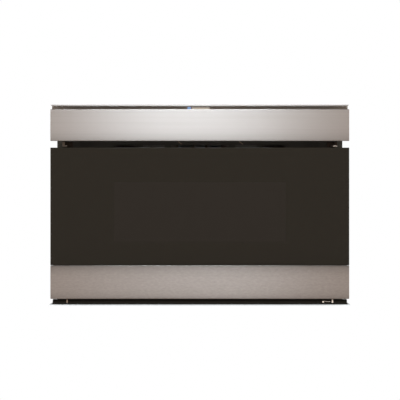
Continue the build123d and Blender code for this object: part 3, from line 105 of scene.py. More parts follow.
class DrawerColours(bpy.types.PropertyGroup):
    """Colours of the pieces that show"""
    steel: tone_setting("Stainless steel", "Lighter tone of the brushed steel", 140.2, 137.2, 135.8)
    steel_grain: tone_setting("Steel grain", "Darker tone in the grain of the brushed steel", 129, 126.2, 124.8)
    glass_print: tone_setting("Glass print", "Black print behind the door glass", 18, 15, 9)
    window_tint: tone_setting("Window tint", "Perforated screen seen through the dark window", 22, 18, 14)
    dark_paint: tone_setting("Dark paint", "Paint on the front frame", 81, 77, 70)
    slot_lacquer: tone_setting("Slot lacquer", "Lacquer on the strip inside the slot", 134, 121, 108)
    lamp_glow: tone_setting("Status lamp", "Glow of the status lamp in the slot", 118, 150, 205)


class DrawerSizes(bpy.types.PropertyGroup):
    """Sizes of the shapes that the looks add, and the stage's main values"""
    sheet: size_setting("Front sheet", "Thickness of the folded steel fronts", 1.2, 0.5, 3)
    bend: size_setting("Bend radius", "Outer radius of the bends in the steel fronts", 0.9, 0.2, 4)
    fold_height: size_setting("Fold height", "Height of the fold line under the panel's top edge", 4.5, 0.5, 20)
    fold_setback: size_setting("Fold setback", "How far the panel leans back above its fold line", 0.02, 0, 5)
    hem_height: size_setting(
        "Lower hem", "How far the panel's steel front ends above the panel's lowest edge", 1.5, 0, 5)
    crown_reach: size_setting(
        "Crown reach", "Height over which the panel's front curves back to its lower edge", 45, 1, 60)
    crown_depth: size_setting(
        "Crown depth", "How far the panel's front has curved back at its lower edge", 0.06, 0, 3)
    ground_edge: size_setting("Ground edge", "Width of the ground edge round the door glass", 0.35, 0.1, 2)
    edge_wear: size_setting("Softened edge", "Rounding on the edges of sheet and moulded pieces", 0.3, 0.05, 1)
    bead_width: size_setting("Bead width", "Width of the beads pressed into the casing", 20, 4, 40)
    bead_height: size_setting("Bead height", "Height of the beads pressed into the casing", 2.2, 0.5, 2.5)
    flange_reach: size_setting(
        "Flange reach", "How far the painted front frame stands out sideways from the plain one", 1.2, 0, 3)
    camera_distance: size_setting("Camera distance", "Distance from the camera to the drawer", 6000, 1000, 20000)
    picture_width: size_setting("Picture width", "Width that the camera sees at the drawer", 811.5, 300, 3000)
    lamp_strength: bpy.props.FloatProperty(
        name="Lamp strength", description="Brightness of the soft light over the camera", default=1, min=0, max=10)


def colours():
    """The colours as the user has them."""
    return bpy.context.scene.drawer_colours


def sizes():
    """The sizes as the user has them."""
    return bpy.context.scene.drawer_sizes


# -------- nodes of materials
class Nodes:
    """A node tree in the making. Each value handed to it is a plain one or another node's output."""

    def __init__(self, tree):
        self.tree = tree
        self.place = self.add("TexCoord").outputs["Object"]

    def add(self, kind, inputs=None, **settings):
        """A node of a kind, with its inputs by name or number and its other settings."""
        node = self.tree.nodes.new("ShaderNode" + kind)
        for name, value in settings.items():
            setattr(node, name, value)
        for name, value in (inputs or {}).items():
            self.feed(node.inputs[name], value)
        return node

    def feed(self, socket, value):
        """Hand a value to an input."""
        if isinstance(value, bpy.types.NodeSocket):
            self.tree.links.new(value, socket)
        else:
            socket.default_value = (*value, 1) if socket.type == "RGBA" else value

    def math(self, operation, *values):
        """What an operation on one to three numbers gives."""
        return self.add("Math", dict(enumerate(values)), operation=operation).outputs["Value"]

    def times(self, first, second):
        """The product of two numbers."""
        return self.math("MULTIPLY", first, second)

    def above(self, value, limit):
        """1 where a value is greater than a limit, else 0."""
        return self.math("GREATER_THAN", value, limit)

    def below(self, value, limit):
        """1 where a value is less than a limit, else 0."""
        return self.math("LESS_THAN", value, limit)

    def within(self, value, low, high):
        """1 where a value lies between two limits, else 0."""
        return self.times(self.above(value, low), self.below(value, high))

    def vector(self, operation, *values):
        """What an operation on one or two vectors gives."""
        output = "Value" if operation in ("LENGTH", "DOT_PRODUCT") else "Vector"
        return self.add("VectorMath", dict(enumerate(values)), operation=operation).outputs[output]

    def carry(self, value, start, end, low=0.0, high=1.0, **settings):
        """A value carried from the range between start and end to the range between low and high."""
        inputs = {"Value": value, "From Min": start, "From Max": end, "To Min": low, "To Max": high}
        return self.add("MapRange", inputs, **settings).outputs["Result"]

    def blend(self, share, first, second):
        """A colour between two others."""
        mix = self.add("Mix", {"Factor": share}, data_type="RGBA")
        for socket, tone in zip([socket for socket in mix.inputs if socket.type == "RGBA"], (first, second)):
            self.feed(socket, tone)
        return next(socket for socket in mix.outputs if socket.type == "RGBA")

    def where(self):
        """The x, y and z of the place on the surface."""
        return self.add("SeparateXYZ", {"Vector": self.place}).outputs


class Finish(Nodes):
    """A material in the making, with short ways to add a pattern to it."""

    def __init__(self, name, **fixed):
        self.material = bpy.data.materials.new(name)
        self.material.use_nodes = True
        super().__init__(self.material.node_tree)
        self.surface = self.tree.nodes["Principled BSDF"].inputs
        for socket, value in fixed.items():
            self.surface[socket.replace("_", " ")].default_value = value

    def scaled_place(self, scale):
        """The place on the surface, scaled by one number or along each axis."""
        scale = scale if isinstance(scale, tuple) else (scale, scale, scale)
        return self.add("Mapping", {"Vector": self.place, "Scale": scale}).outputs["Vector"]

    def noise(self, scale, detail=2.0, roughness=0.5):
        """Cloudy variation from 0 to 1."""
        inputs = {"Vector": self.scaled_place(scale), "Scale": 1, "Detail": detail, "Roughness": roughness}
        return self.add("TexNoise", inputs).outputs["Fac"]

    def cells(self, scale, output="Distance", randomness=1.0):
        """Cells such as spangle, or evenly spaced holes with a randomness of 0."""
        inputs = {"Vector": self.scaled_place(scale), "Scale": 1, "Randomness": randomness}
        return self.add("TexVoronoi", inputs).outputs[output]

    def wave(self, scale, axis, distortion):
        """Even stripes from 0 to 1 along an axis."""
        inputs = {"Vector": self.scaled_place(scale), "Scale": 1, "Distortion": distortion}
        return self.add("TexWave", inputs, bands_direction=axis).outputs["Fac"]

    def between_holes(self):
        """1 on the metal of the perforated screen, 0 in its close small round holes."""
        holes_per_metre, hole_radius = 500, 0.32
        return self.above(self.cells((holes_per_metre, 0, holes_per_metre), randomness=0.0), hole_radius)

    def near(self, value, edge, reach):
        """1 at an edge, falling to 0 at a reach from it."""
        away = self.math("ABSOLUTE", self.math("SUBTRACT", value, edge))
        share = self.math("MAXIMUM", self.math("SUBTRACT", 1.0, self.math("DIVIDE", away, reach)), 0.0)
        return self.times(share, share)

    def worn(self, tone, bare, share=0.5):
        """The tone rubbed towards another in patches along the edges."""
        edge_reach, steepness, patch_scale = 0.6 * MM, 6.0, 70
        rounded = self.add("Bevel", {"Radius": edge_reach}, samples=4).outputs["Normal"]
        flat = self.add("NewGeometry").outputs["Normal"]
        turned = self.math("SUBTRACT", 1.0, self.vector("DOT_PRODUCT", rounded, flat))
        turned = self.math("MINIMUM", self.times(turned, steepness), 1.0)
        patches = self.math("MULTIPLY_ADD", self.noise(patch_scale, 3), 1.2, -0.1)
        return self.blend(self.times(self.times(turned, patches), share), tone, bare)

    def colour(self, tone):
        """Give the surface a tone that varies over it."""
        self.feed(self.surface["Base Color"], tone)

    def rough(self, share, low, high):
        """Give the surface a roughness between two values."""
        self.feed(self.surface["Roughness"], self.carry(share, 0.0, 1.0, low, high))

    def relief(self, height, strength, depth):
        """Give the surface a fine relief of a depth in metres."""
        bump = self.add("Bump", {"Height": height, "Strength": strength, "Distance": depth})
        self.feed(self.surface["Normal"], bump.outputs["Normal"])


# -------- finishes
def brushed_steel(name, first, second, roughness=(0.3, 0.36), edges=(), speckle=0.0):
    """Steel with a long fine grain along the width and short dull specks, painted darker towards edges given as
    (height, reach, share): a painted shade where the light falls off towards these edges."""
    finish = Finish(name, Metallic=1.0, Anisotropic=0.8)
    fine = finish.noise((5, 1500, 1500), 3, 0.6)
    both_grains = finish.math("MULTIPLY_ADD", finish.noise((3, 350, 350)), 0.5, finish.times(fine, 0.5))
    tone = finish.blend(both_grains, second, first)
    if speckle:
        tone = finish.blend(finish.times(finish.noise((150, 420, 420)), speckle), tone, BLACK)
    # painted shade: the tone darkens towards each listed edge, standing in for light that falls off there
    for edge, reach, share in edges:
        tone = finish.blend(finish.times(finish.near(finish.where()["Z"], edge, reach), share), tone, BLACK)
    finish.colour(tone)
    finish.rough(both_grains, *roughness)
    finish.relief(fine, 0.15, 0.01 * MM)
    along_grain = finish.add("Tangent", direction_type="UV_MAP", uv_map="Grain")
    finish.feed(finish.surface["Tangent"], along_grain.outputs["Tangent"])
    return finish.material


def plain_steel(name, tone, darker, roughness=(0.32, 0.5)):
    """Rolled or drawn metal with faint cloudy marks."""
    finish = Finish(name, Metallic=1.0)
    marks = finish.noise(220, 4, 0.6)
    finish.colour(finish.worn(finish.blend(marks, darker, tone), linear(222, 222, 222)))
    finish.rough(finish.noise(30, 3), *roughness)
    finish.relief(marks, 0.1, 0.02 * MM)
    return finish.material


def galvanised(name, shade_painted_inside=False):
    """Zinc-coated sheet with its spangle and the faint streaks of the rolling mill, painted dark inside the casing as
    shade.
    """
    finish = Finish(name, Metallic=1.0, Specular_Tint=(0.5, 0.5, 0.5, 1))
    spangle = finish.add("SeparateColor", {"Color": finish.cells(110, "Color")}).outputs["Red"]
    streaks = finish.times(finish.noise((60, 4, 60), 3), 0.25)
    clouds = finish.math("MULTIPLY_ADD", finish.noise(9, 4), 0.4, streaks)
    mixed = finish.math("MULTIPLY_ADD", spangle, 0.35, clouds)
    tone = finish.blend(mixed, linear(149, 152, 154), linear(178, 182, 185))
    # painted shade: the casing's inner faces take a darker grey, standing in for the shade inside it
    if shade_painted_inside:
        tone = finish.blend(inside_casing(finish), tone, linear(112, 106, 99))
    finish.colour(finish.worn(tone, linear(208, 212, 214), 0.6))
    finish.rough(mixed, 0.56, 0.7)
    finish.relief(spangle, 0.06, 0.03 * MM)
    return finish.material


def inside_casing(finish):
    """1 within the sheets of the casing, else 0."""
    half_sheet = 0.5 * MM
    place = finish.where()
    inside = 1.0
    for value, node, axis in ((finish.math("ABSOLUTE", place["X"]), "right_side_cover", 0),
                              (place["Z"], "top_cover", 2), (place["Y"], "rear_panel", 1)):
        inside = finish.times(finish.below(value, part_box(node)[1][axis] - half_sheet), inside)
    return inside


def satin_metal(name, first, second, roughness=(0.3, 0.42)):
    """A small bright piece with a fine rubbed grain."""
    finish = Finish(name, Metallic=1.0)
    rub = finish.noise((40, 900, 900), 3)
    finish.colour(finish.blend(rub, first, second))
    finish.rough(rub, *roughness)
    return finish.material


def clouded(finish, tone, share, dark):
    """The material of a finish whose tone is dulled in small clouds."""
    clouds = finish.noise(500, 3)
    finish.colour(finish.blend(finish.times(clouds, share), tone, (dark, dark, dark)))
    finish.rough(clouds, 0.3, 0.45)
    return finish.material


def sided_painted_light(name, left, right):
    """Zinc painted darker towards the left end of the drawer as shade and bright at the right as a highlight."""
    finish = Finish(name, Metallic=1.0)
    return clouded(finish, finish.blend(finish.above(finish.where()["X"], 0.0), left, right), 0.25, 0.05)


def bracket_painted_light(name):
    """Zinc with painted light: dark as shade away from its front edge, its foot a highlight at the right, brown shade
    at the left.
    """
    foot_top, outer_x, front_y = 322.6 * MM, 271 * MM, -276 * MM
    finish = Finish(name, Metallic=1.0)
    place = finish.where()
    # painted shade: all of the bracket but its shown front edge takes this dark tone
    dark = linear(38, 32, 28)
    # painted highlight on the foot, with painted shade above it
    foot_highlight = finish.blend(finish.below(place["Z"], foot_top), dark, linear(160, 155, 150))
    # the left bracket's front takes a darker brown as painted shade, the right one the foot's highlight
    front = finish.blend(finish.above(place["X"], 0.0), linear(82, 76, 70), foot_highlight)
    shown = finish.times(finish.above(finish.math("ABSOLUTE", place["X"]), outer_x),
                         finish.below(place["Y"], front_y))
    return clouded(finish, finish.blend(shown, dark, front), 0.3, 0.02)


def painted(name, tone, other, roughness=(0.45, 0.6), peel=900, shine=0.4):
    """Paint or enamel with a fine orange peel."""
    finish = Finish(name, Specular_IOR_Level=shine)
    grain = finish.noise(peel)
    finish.colour(finish.worn(finish.blend(finish.noise(18, 4), other, tone), lighter(tone, 2.2), 0.4))
    finish.rough(grain, *roughness)
    finish.relief(grain, 0.3, 0.02 * MM)
    return finish.material


def slot_lacquer(name):
    """Lacquer on the strip in the slot, with painted light towards its upper edge and middle, painted shade below."""
    lit_from, lit_over, middle_x, reach = 6.5 * MM, 5.5 * MM, 15 * MM, 330 * MM
    finish = Finish(name, Specular_IOR_Level=0.9)
    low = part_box("sensor_strip")[0]
    place = finish.where()
    height = finish.times(finish.math("SUBTRACT", place["Z"], low.z + lit_from), 1 / lit_over)
    tone = colours().slot_lacquer
    # painted light and shade: the tone runs from a tenth near the lower edge to four times at the upper middle
    painted_light_middle = finish.near(place["X"], middle_x, reach)
    lower = finish.blend(painted_light_middle, scaled(tone, 0.1), scaled(tone, 2.2))
    upper = finish.blend(painted_light_middle, scaled(tone, 1.2), scaled(tone, 4.0))
    specks = finish.times(finish.noise((30, 200, 200), 3), 0.3)
    finish.colour(finish.blend(specks, finish.blend(height, lower, upper), scaled(tone, 0.3)))
    finish.rough(finish.noise(60), 0.1, 0.16)
    return finish.material


def moulded(name, tone, other, roughness=(0.4, 0.55), grain=1600, shine=0.45):
    """Moulded plastic with a fine eroded grain."""
    finish = Finish(name, Specular_IOR_Level=shine)
    finish.colour(finish.worn(finish.blend(finish.noise(40, 4), other, tone), lighter(tone, 1.7), 0.4))
    finish.rough(finish.noise(60, 3), *roughness)
    finish.relief(finish.cells(grain), 0.2, 0.02 * MM)
    return finish.material


def door_glass_finish():
    """Black printed glass, a little lighter where the screen shows through the window."""
    finish = Finish("Black glass", IOR=1.5, Specular_IOR_Level=0.2)
    low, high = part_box("door_screen")
    place = finish.where()
    margin = 8 * MM
    inside = finish.times(finish.within(place["X"], low.x + margin, high.x - margin),
                          finish.within(place["Z"], low.z + margin, high.z - margin))
    window = finish.times(inside, finish.math("MULTIPLY_ADD", finish.between_holes(), 0.7, 0.3))
    finish.colour(finish.blend(window, colours().glass_print, colours().window_tint))
    finish.rough(finish.noise(7, 4, 0.6), 0.025, 0.07)
    finish.relief(finish.noise(2.5, 0), 0.02, 1 * MM)
    return finish.material


def clear_glass(name, tint):
    """Clear glass with faint smudges."""
    finish = Finish(name, IOR=1.5, Transmission_Weight=1.0)
    smudge = finish.noise(14, 4)
    finish.colour(finish.blend(smudge, tint, (0.96, 0.97, 0.97)))
    finish.rough(smudge, 0.01, 0.05)
    return finish.material


def perforated(name):
    """Steel screen with a close pattern of small round holes."""
    finish = Finish(name, Metallic=0.8)
    metal = finish.between_holes()
    finish.colour(finish.blend(metal, linear(6, 6, 6), linear(96, 92, 86)))
    finish.rough(finish.noise(80), 0.4, 0.6)
    finish.relief(metal, 0.5, 0.2 * MM)
    return finish.material


def transformer_finish():
    """Enamelled wire wound in side-by-side turns, on a core of stacked steel sheets."""
    finish = Finish("Copper winding and core")
    low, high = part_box("transformer")
    windings_reach = (18 - 0.2) * MM
    core = finish.within(finish.where()["Y"], low.y + windings_reach, high.y - windings_reach)
    turns = finish.wave(150, "Z", 0.6)
    sheets = finish.wave(320, "Y", 0.3)
    wire = finish.blend(turns, linear(112, 50, 24), linear(204, 116, 68))
    steel = finish.blend(sheets, linear(52, 50, 48), linear(92, 90, 87))
    finish.colour(finish.blend(core, wire, steel))
    finish.rough(finish.noise(90), 0.3, 0.45)
    finish.feed(finish.surface["Metallic"], finish.math("MULTIPLY_ADD", core, -0.2, 0.9))
    finish.relief(finish.times(turns, finish.math("SUBTRACT", 1.0, core)), 0.8, 0.4 * MM)
    return finish.material


def board_lacquer(finish):
    """Green lacquer over copper tracks, with solder points."""
    tracks = finish.add("TexBrick", {
        "Vector": finish.scaled_place(220), "Scale": 1, "Mortar Size": 0.06, "Brick Width": 0.7, "Row Height": 0.3,
        "Color1": linear(20, 74, 44), "Color2": linear(26, 84, 50), "Mortar": linear(70, 122, 70)})
    return finish.blend(finish.below(finish.cells(300), 0.18), tracks.outputs["Color"], linear(190, 192, 186))


def power_board_finish():
    """The board in its black tray, with relays, a taped transformer, capacitors and pale connectors."""
    finish = Finish("Power board", Specular_IOR_Level=0.5)
    low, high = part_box("power_board")
    middle = (low + high) / 2
    tray_edge, board_low, board_top, half_row = 3.5 * MM, low.z + 9.9 * MM, low.z + 11.7 * MM, 18 * MM
    place = finish.where()
    on_board = finish.times(finish.within(place["X"], low.x + tray_edge, high.x - tray_edge),
                            finish.within(place["Y"], low.y + tray_edge, high.y - tray_edge))
    on_board = finish.times(on_board, finish.above(place["Z"], board_low))
    parts = linear(196, 160, 70)
    for chosen, tone in ((finish.above(place["Y"], middle.y - half_row), linear(34, 44, 74)),
                         (finish.above(place["Y"], middle.y + half_row), linear(222, 218, 206)),
                         (finish.below(place["X"], middle.x), linear(42, 43, 46))):
        parts = finish.blend(chosen, parts, tone)
    tone = finish.blend(finish.above(place["Z"], board_top), board_lacquer(finish), parts)
    tone = finish.blend(on_board, linear(34, 34, 35), tone)
    finish.colour(finish.blend(finish.times(finish.noise(90, 4), 0.25), tone, linear(24, 24, 24)))
    finish.rough(finish.noise(140, 3), 0.3, 0.5)
    finish.relief(finish.cells(1400), 0.15, 0.02 * MM)
    return finish.material


def display_board_finish():
    """The long green board under the touch glass, with its dark display."""
    half_display, board_thickness = 50.1 * MM, 1.7 * MM
    finish = Finish("Display board", Specular_IOR_Level=0.5)
    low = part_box("display_board")[0]
    place = finish.where()
    display = finish.times(finish.within(place["X"], -half_display, half_display),
                           finish.above(place["Z"], low.z + board_thickness))
    finish.colour(finish.blend(display, board_lacquer(finish), linear(20, 22, 24)))
    finish.rough(finish.noise(140, 3), 0.2, 0.4)
    return finish.material


def glowing(name, first, second, strength):
    """A lens or digit lit from behind."""
    finish = Finish(name, Roughness=0.3, Emission_Strength=strength)
    glow = finish.blend(finish.noise(260, 1), first, second)
    finish.colour(glow)
    finish.feed(finish.surface["Emission Color"], glow)
    return finish.material


def make_finishes():
    """Every finish by the record's slot name, or by a name of its own."""
    steel, grain = colours().steel, colours().steel_grain
    dark, lamp = colours().dark_paint, colours().lamp_glow
    # painted light: the band's steel is a brightened, warmer copy of the panel's steel
    band_light_tint = (1.05, 1.026, 1.01)
    band_low, band_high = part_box("door_lower_band")
    panel_low, panel_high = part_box("panel_fascia")
    return {
        # the edges entries below are painted shade: darker towards the panel's and the band's upper and lower edges
        "panel steel": brushed_steel("Brushed panel steel", steel, grain,
                                     edges=((panel_low.z, 0.03, 0.33), (panel_high.z, 0.003, 0.3))),
        "band steel": brushed_steel("Brushed band steel", scaled(steel, *band_light_tint), scaled(grain, *band_light_tint),
                                    edges=((band_high.z, 0.032, 0.38), (band_high.z, 0.006, 0.4),
                                           (band_low.z, 0.026, 0.3)), speckle=0.3),
        "slot lacquer": slot_lacquer("Slot lacquer"),
        "sensor window": satin_metal("Sensor window", linear(188, 190, 188), linear(176, 177, 175), (0.12, 0.18)),
        # painted shade: the trim's steel is a darker copy of the panel's, damping its highlight
        "trim steel": brushed_steel("Brushed trim steel", scaled(steel, 0.87), scaled(grain, 0.87), (0.46, 0.52)),
        # the clips take painted light: darker at the left as shade, bright at the right as a highlight
        "clip zinc": sided_painted_light("Clip zinc", linear(138, 128, 118), linear(232, 230, 226)),
        "dull wire": satin_metal("Dull wire", linear(168, 152, 134), linear(146, 131, 115)),
        "bracket zinc": bracket_painted_light("Bracket zinc"),
        "strip paint": painted("Lower strip paint", linear(20, 17, 11), linear(15, 13, 8), shine=0.1),
        "casing zinc": galvanised("Galvanised casing", shade_painted_inside=True),
        "touch glass": moulded("Touch glass", linear(16, 14, 12), linear(20, 18, 16), (0.04, 0.08), 60, 0.35),
        "touch print": moulded("Touch print", linear(206, 206, 202), linear(190, 190, 186), (0.4, 0.5)),
        "clock digits": glowing("Clock digits", (0.35, 0.8, 0.9), (0.5, 0.9, 0.95), 1.2),
        "screen": perforated("Perforated screen"),
        "black_glass": door_glass_finish(),
        "clear_glass": clear_glass("Clear glass", (0.9, 0.94, 0.93)),
        "ceramic_glass": moulded("Pale ceramic glass", linear(196, 193, 186), linear(184, 181, 173), (0.12, 0.2), 260),
        "galvanised": galvanised("Galvanised sheet"),
        "dark_steel": painted("Dark painted steel", dark, scaled(dark, 0.8), shine=0.15),
        "enamel": painted("Grey enamel", linear(181, 178, 173), linear(171, 168, 163), (0.22, 0.34), 500),
        "slide_steel": plain_steel("Zinc-plated slide steel", linear(182, 184, 188), linear(158, 160, 164)),
        "aluminium": plain_steel("Aluminium", linear(206, 207, 209), linear(186, 187, 190), (0.28, 0.42)),
        "black_plastic": moulded("Black plastic", linear(34, 34, 35), linear(28, 28, 29)),
        "grey_plastic": moulded("Grey plastic", linear(150, 143, 137), linear(140, 134, 128)),
        "white_plastic": moulded("White plastic", linear(222, 220, 212), linear(212, 210, 202)),
        "gear_plastic": moulded("Gear plastic", linear(226, 220, 200), linear(216, 209, 188), (0.3, 0.42)),
        "mica": moulded("Mica sheet", linear(176, 168, 148), linear(150, 141, 120), (0.3, 0.5), 120),
        "copper_winding": transformer_finish(),
        "circuit_board": power_board_finish(),
        "display board": display_board_finish(),
        "lamp_blue": glowing("Status lamp", lamp, linear(160, 188, 232), 0.95),
        "rubber": moulded("Rubber", linear(30, 30, 30), linear(24, 24, 24), (0.6, 0.75)),
    }


FINISHES = {}
OWN_FINISH = {
    "panel_fascia": "panel steel", "door_lower_band": "band steel", "top_trim": "trim steel",
    "bottom_trim": "strip paint", "trim_clips": "clip zinc", "panel_brackets": "bracket zinc",
    "sensor_strip": "slot lacquer", "sensor_window": "sensor window", "touch_glass": "touch glass",
    "display_board": "display board", "door_screen": "screen",
    **dict.fromkeys(("base_pan", "top_cover", "left_side_cover", "right_side_cover", "rear_panel"), "casing zinc"),
}
node_slot = {row["node"]: row["material_slot"] for row in frame["record"]["subparts"]}
node_body = {node: body for body, nodes in frame["record"]["behaviour"]["bodies"].items() for node in nodes}


def finish_of(node):
    """The finish of a CAD node and of the piece that takes its place."""
    return FINISHES[OWN_FINISH.get(node, node_slot[node])]


# -------- making pieces
def mesh_object(name, bm, material):
    """An object in the scene with a bmesh as its mesh, which frees the bmesh."""
    mesh = bpy.data.meshes.new(name)
    bm.to_mesh(mesh)
    bm.free()
    mesh.materials.append(material)
    made = bpy.data.objects.new(name, mesh)
    bpy.context.scene.collection.objects.link(made)
    return made


def put(name, bm, body, finish, replaces=()):
    """Make a bmesh a piece that rides on a body, with its finish and smooth faces between sharp edges."""
    sharp = math.radians(30)
    bm.normal_update()
    for face in bm.faces:
        face.smooth = True
    for edge in bm.edges:
        edge.smooth = not edge.is_manifold or edge.calc_face_angle(0) < sharp
    piece = mesh_object(name, bm, finish)
    piece.modifiers.new("Flat faces stay flat", "WEIGHTED_NORMAL").keep_sharp = True
    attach(piece, body)
    if replaces:
        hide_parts(*replaces)


def dress(node, name, bm):
    """Put a piece in the place of a CAD node."""
    put(name, bm, node_body[node], finish_of(node), [node])


def block(bm, low, high):
    """A box between two corners."""
    verts = bmesh.ops.create_cube(bm, size=1)["verts"]
    bmesh.ops.scale(bm, vec=[high[axis] - low[axis] for axis in range(3)], verts=verts)
    bmesh.ops.translate(bm, vec=[(high[axis] + low[axis]) / 2 for axis in range(3)], verts=verts)


def along(edge, axis):
    """Whether an edge runs along an axis."""
    return abs((edge.verts[0].co - edge.verts[1].co).normalized().dot(AXES[axis])) > 0.99


def soften(bm, width, chosen, segments=2):
    """Round the edges for which chosen is true."""
    bmesh.ops.bevel(bm, geom=[edge for edge in bm.edges if chosen(edge)], offset=width, offset_type="OFFSET",
                    segments=segments, profile=0.5, affect="EDGES", clamp_overlap=True, material=-1)


def add(bm, part, place=None):
    """Add a bmesh to another at a place and free it."""
    if place:
        bmesh.ops.transform(part, matrix=place, verts=part.verts)
    mesh = bpy.data.meshes.new("part")
    part.to_mesh(mesh)
    part.free()
    bm.from_mesh(mesh)
    bpy.data.meshes.remove(mesh)


def rounded_block(bm, low, high, corner, corner_axis, edge=0.3 * MM):
    """A box with large corners along one axis and lightly softened edges."""
    part = bmesh.new()
    block(part, low, high)
    if corner:
        soften(part, corner, lambda one: along(one, corner_axis), 4)
    soften(part, edge, lambda one: not along(one, corner_axis))
    add(bm, part)


def rod(bm, start, end, radius, edge, segments):
    """A round bar between two points, its ends softened."""
    start, end = Vector(start), Vector(end)
    part = bmesh.new()
    bmesh.ops.create_cone(part, cap_ends=True, segments=segments, radius1=radius, radius2=radius,
                          depth=(end - start).length)
    soften(part, edge, lambda one: abs(one.verts[0].co.z - one.verts[1].co.z) < 1e-9)
    turn = (end - start).to_track_quat("Z", "Y").to_matrix().to_4x4()
    add(bm, part, Matrix.Translation((start + end) / 2) @ turn)


def pressed_bead(bm, start, end, outwards):
    """A raised bead with round ends and a crowned top, pressed out of a sheet from one point to another."""
    width, height = sizes().bead_width, sizes().bead_height
    start, end, outwards = Vector(start), Vector(end), Vector(outwards)
    part = bmesh.new()
    half_run, sunk, top = (end - start).length / 2, 0.4 * MM, height - 1e-7
    half_length, end_radius, top_share, rim_radius = half_run + width / 2, 0.49 * width, 0.55, 0.7 * height
    block(part, (-half_length, -width / 2, -sunk), (half_length, width / 2, height))
    soften(part, end_radius, lambda one: along(one, "Z"), 6)
    for vert in part.verts:
        if vert.co.z > top:
            middle = max(-half_run, min(half_run, vert.co.x))
            vert.co.x += (1 - top_share) * (middle - vert.co.x)
            vert.co.y *= top_share
    soften(part, rim_radius, lambda one: all(vert.co.z > top for vert in one.verts), 3)
    forward = (end - start).normalized()
    turn = Matrix((forward, outwards.cross(forward), outwards)).transposed().to_4x4()
    add(bm, part, Matrix.Translation((start + end) / 2) @ turn)


def turned_ring(outline, steps):
    """A ring round the z axis whose section has the given corners, as distance from the axis and height."""
    part = bmesh.new()
    verts = [part.verts.new((across, 0, up)) for across, up in outline]
    edges = [part.edges.new(pair) for pair in zip(verts, verts[1:] + verts[:1])]
    bmesh.ops.spin(part, geom=verts + edges, cent=(0, 0, 0), axis=(0, 0, 1), angle=math.tau, steps=steps,
                   use_merge=True)
    bmesh.ops.remove_doubles(part, verts=part.verts, dist=0.001 * MM)
    bmesh.ops.recalc_face_normals(part, faces=part.faces)
    return part


def pressed_ring(bm, centre, radius):
    """A raised ring pressed backwards out of a sheet round a point."""
    half, height, sunk = sizes().bead_width / 2, sizes().bead_height, 0.4 * MM
    top = 0.6 * half
    part = turned_ring([(radius - half, -sunk), (radius - top, height), (radius + top, height),
                        (radius + half, -sunk)], 64)
    add(bm, part, Matrix.Translation(centre) @ AXES["Y"].to_track_quat("Z", "Y").to_matrix().to_4x4())


def grain_map(bm):
    """A UV map whose first direction runs across the grain of brushed steel, which follows the width."""
    steep = 0.75
    layer = bm.loops.layers.uv.new("Grain")
    bm.normal_update()
    for face in bm.faces:
        faces_up, faces_aside = abs(face.normal.z) > steep, abs(face.normal.x) > steep
        for loop in face.loops:
            place = loop.vert.co
            loop[layer].uv = (place.y if faces_up else place.z, place.y if faces_aside else place.x)


def merged_copy(node):
    """A bmesh of a CAD node with merged corners and whole flat faces."""
    bm = bmesh.new()
    bm.from_mesh(frame["nodes"][node].data)
    bmesh.ops.remove_doubles(bm, verts=bm.verts, dist=0.002 * MM)
    bmesh.ops.dissolve_limit(bm, angle_limit=math.radians(1), verts=bm.verts, edges=bm.edges)
    return bm


def softened_copy(node, width):
    """A merged copy of a CAD node with rounded edges."""
    sharp = math.radians(50)
    bm = merged_copy(node)
    soften(bm, width, lambda edge: edge.is_manifold and edge.calc_face_angle(0) > sharp)
    bmesh.ops.dissolve_degenerate(bm, dist=0.0005 * MM, edges=bm.edges)
    return bm


def folded_front(low, high, rows, set_back, bend, sheet):
    """A steel front with its four edges folded back. Its face is cut at the rows and set back along its height."""
    bm = bmesh.new()
    block(bm, low, high)
    bmesh.ops.delete(bm, geom=[face for face in bm.faces if face.normal.y > 0.9], context="FACES_ONLY")
    for row in rows:
        bmesh.ops.bisect_plane(bm, geom=bm.verts[:] + bm.edges[:] + bm.faces[:], plane_co=(0, 0, row),
                               plane_no=(0, 0, 1), dist=1e-7)
    for vert in bm.verts:
        if vert.co.y < low.y + 1e-6:
            vert.co.y += set_back(vert.co.z)
    fold = math.radians(30)
    soften(bm, bend, lambda edge: not edge.is_boundary and edge.calc_face_angle(0) > fold, 4)
    bmesh.ops.recalc_face_normals(bm, faces=bm.faces)
    bmesh.ops.solidify(bm, geom=bm.faces[:], thickness=sheet)
    grain_map(bm)
    return bm


# -------- operators
class DrawerOperator(bpy.types.Operator):
    """Shared by the operators that dress the drawer."""
    bl_options = {"REGISTER", "UNDO"}


class DRAWER_OT_finishes(DrawerOperator):
    """Give every node of the frame its procedural finish"""
    bl_idname = "drawer.finishes"
    bl_label = "Finishes"

    def execute(self, context):
        FINISHES.update(make_finishes())
        for name, node in frame["nodes"].items():
            node.data.materials.clear()
            node.data.materials.append(finish_of(name))
        return {"FINISHED"}


class DRAWER_OT_fascia(DrawerOperator):
    """Fold the brushed steel front of the control panel"""
    bl_idname = "drawer.fascia"
    bl_label = "Panel front"

    def execute(self, context):
        size = sizes()
        low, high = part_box("panel_fascia")
        low.z += size.hem_height
        fold_z = high.z - size.fold_height

        def set_back(z):
            """How far the face lies behind its foremost line at a height."""
            lean = size.fold_setback * max(0.0, (z - fold_z) / size.fold_height)
            curve = size.crown_depth * max(0.0, 1 - (z - low.z) / size.crown_reach) ** 2
            return lean + curve

        steps = 9
        rows = [low.z + size.crown_reach * (index + 1) / steps for index in range(steps)] + [fold_z]
        bm = folded_front(low, high, rows, set_back, size.bend, size.sheet)
        dress("panel_fascia", "panel_front_steel", bm)
        return {"FINISHED"}


class DRAWER_OT_lower_band(DrawerOperator):
    """Fold the brushed steel band under the door glass"""
    bl_idname = "drawer.lower_band"
    bl_label = "Lower band"

    def execute(self, context):
        low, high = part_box("door_lower_band")
        bm = folded_front(low, high, [], lambda z: 0.0, 1.5 * sizes().bend, sizes().sheet)
        dress("door_lower_band", "lower_band_steel", bm)
        return {"FINISHED"}


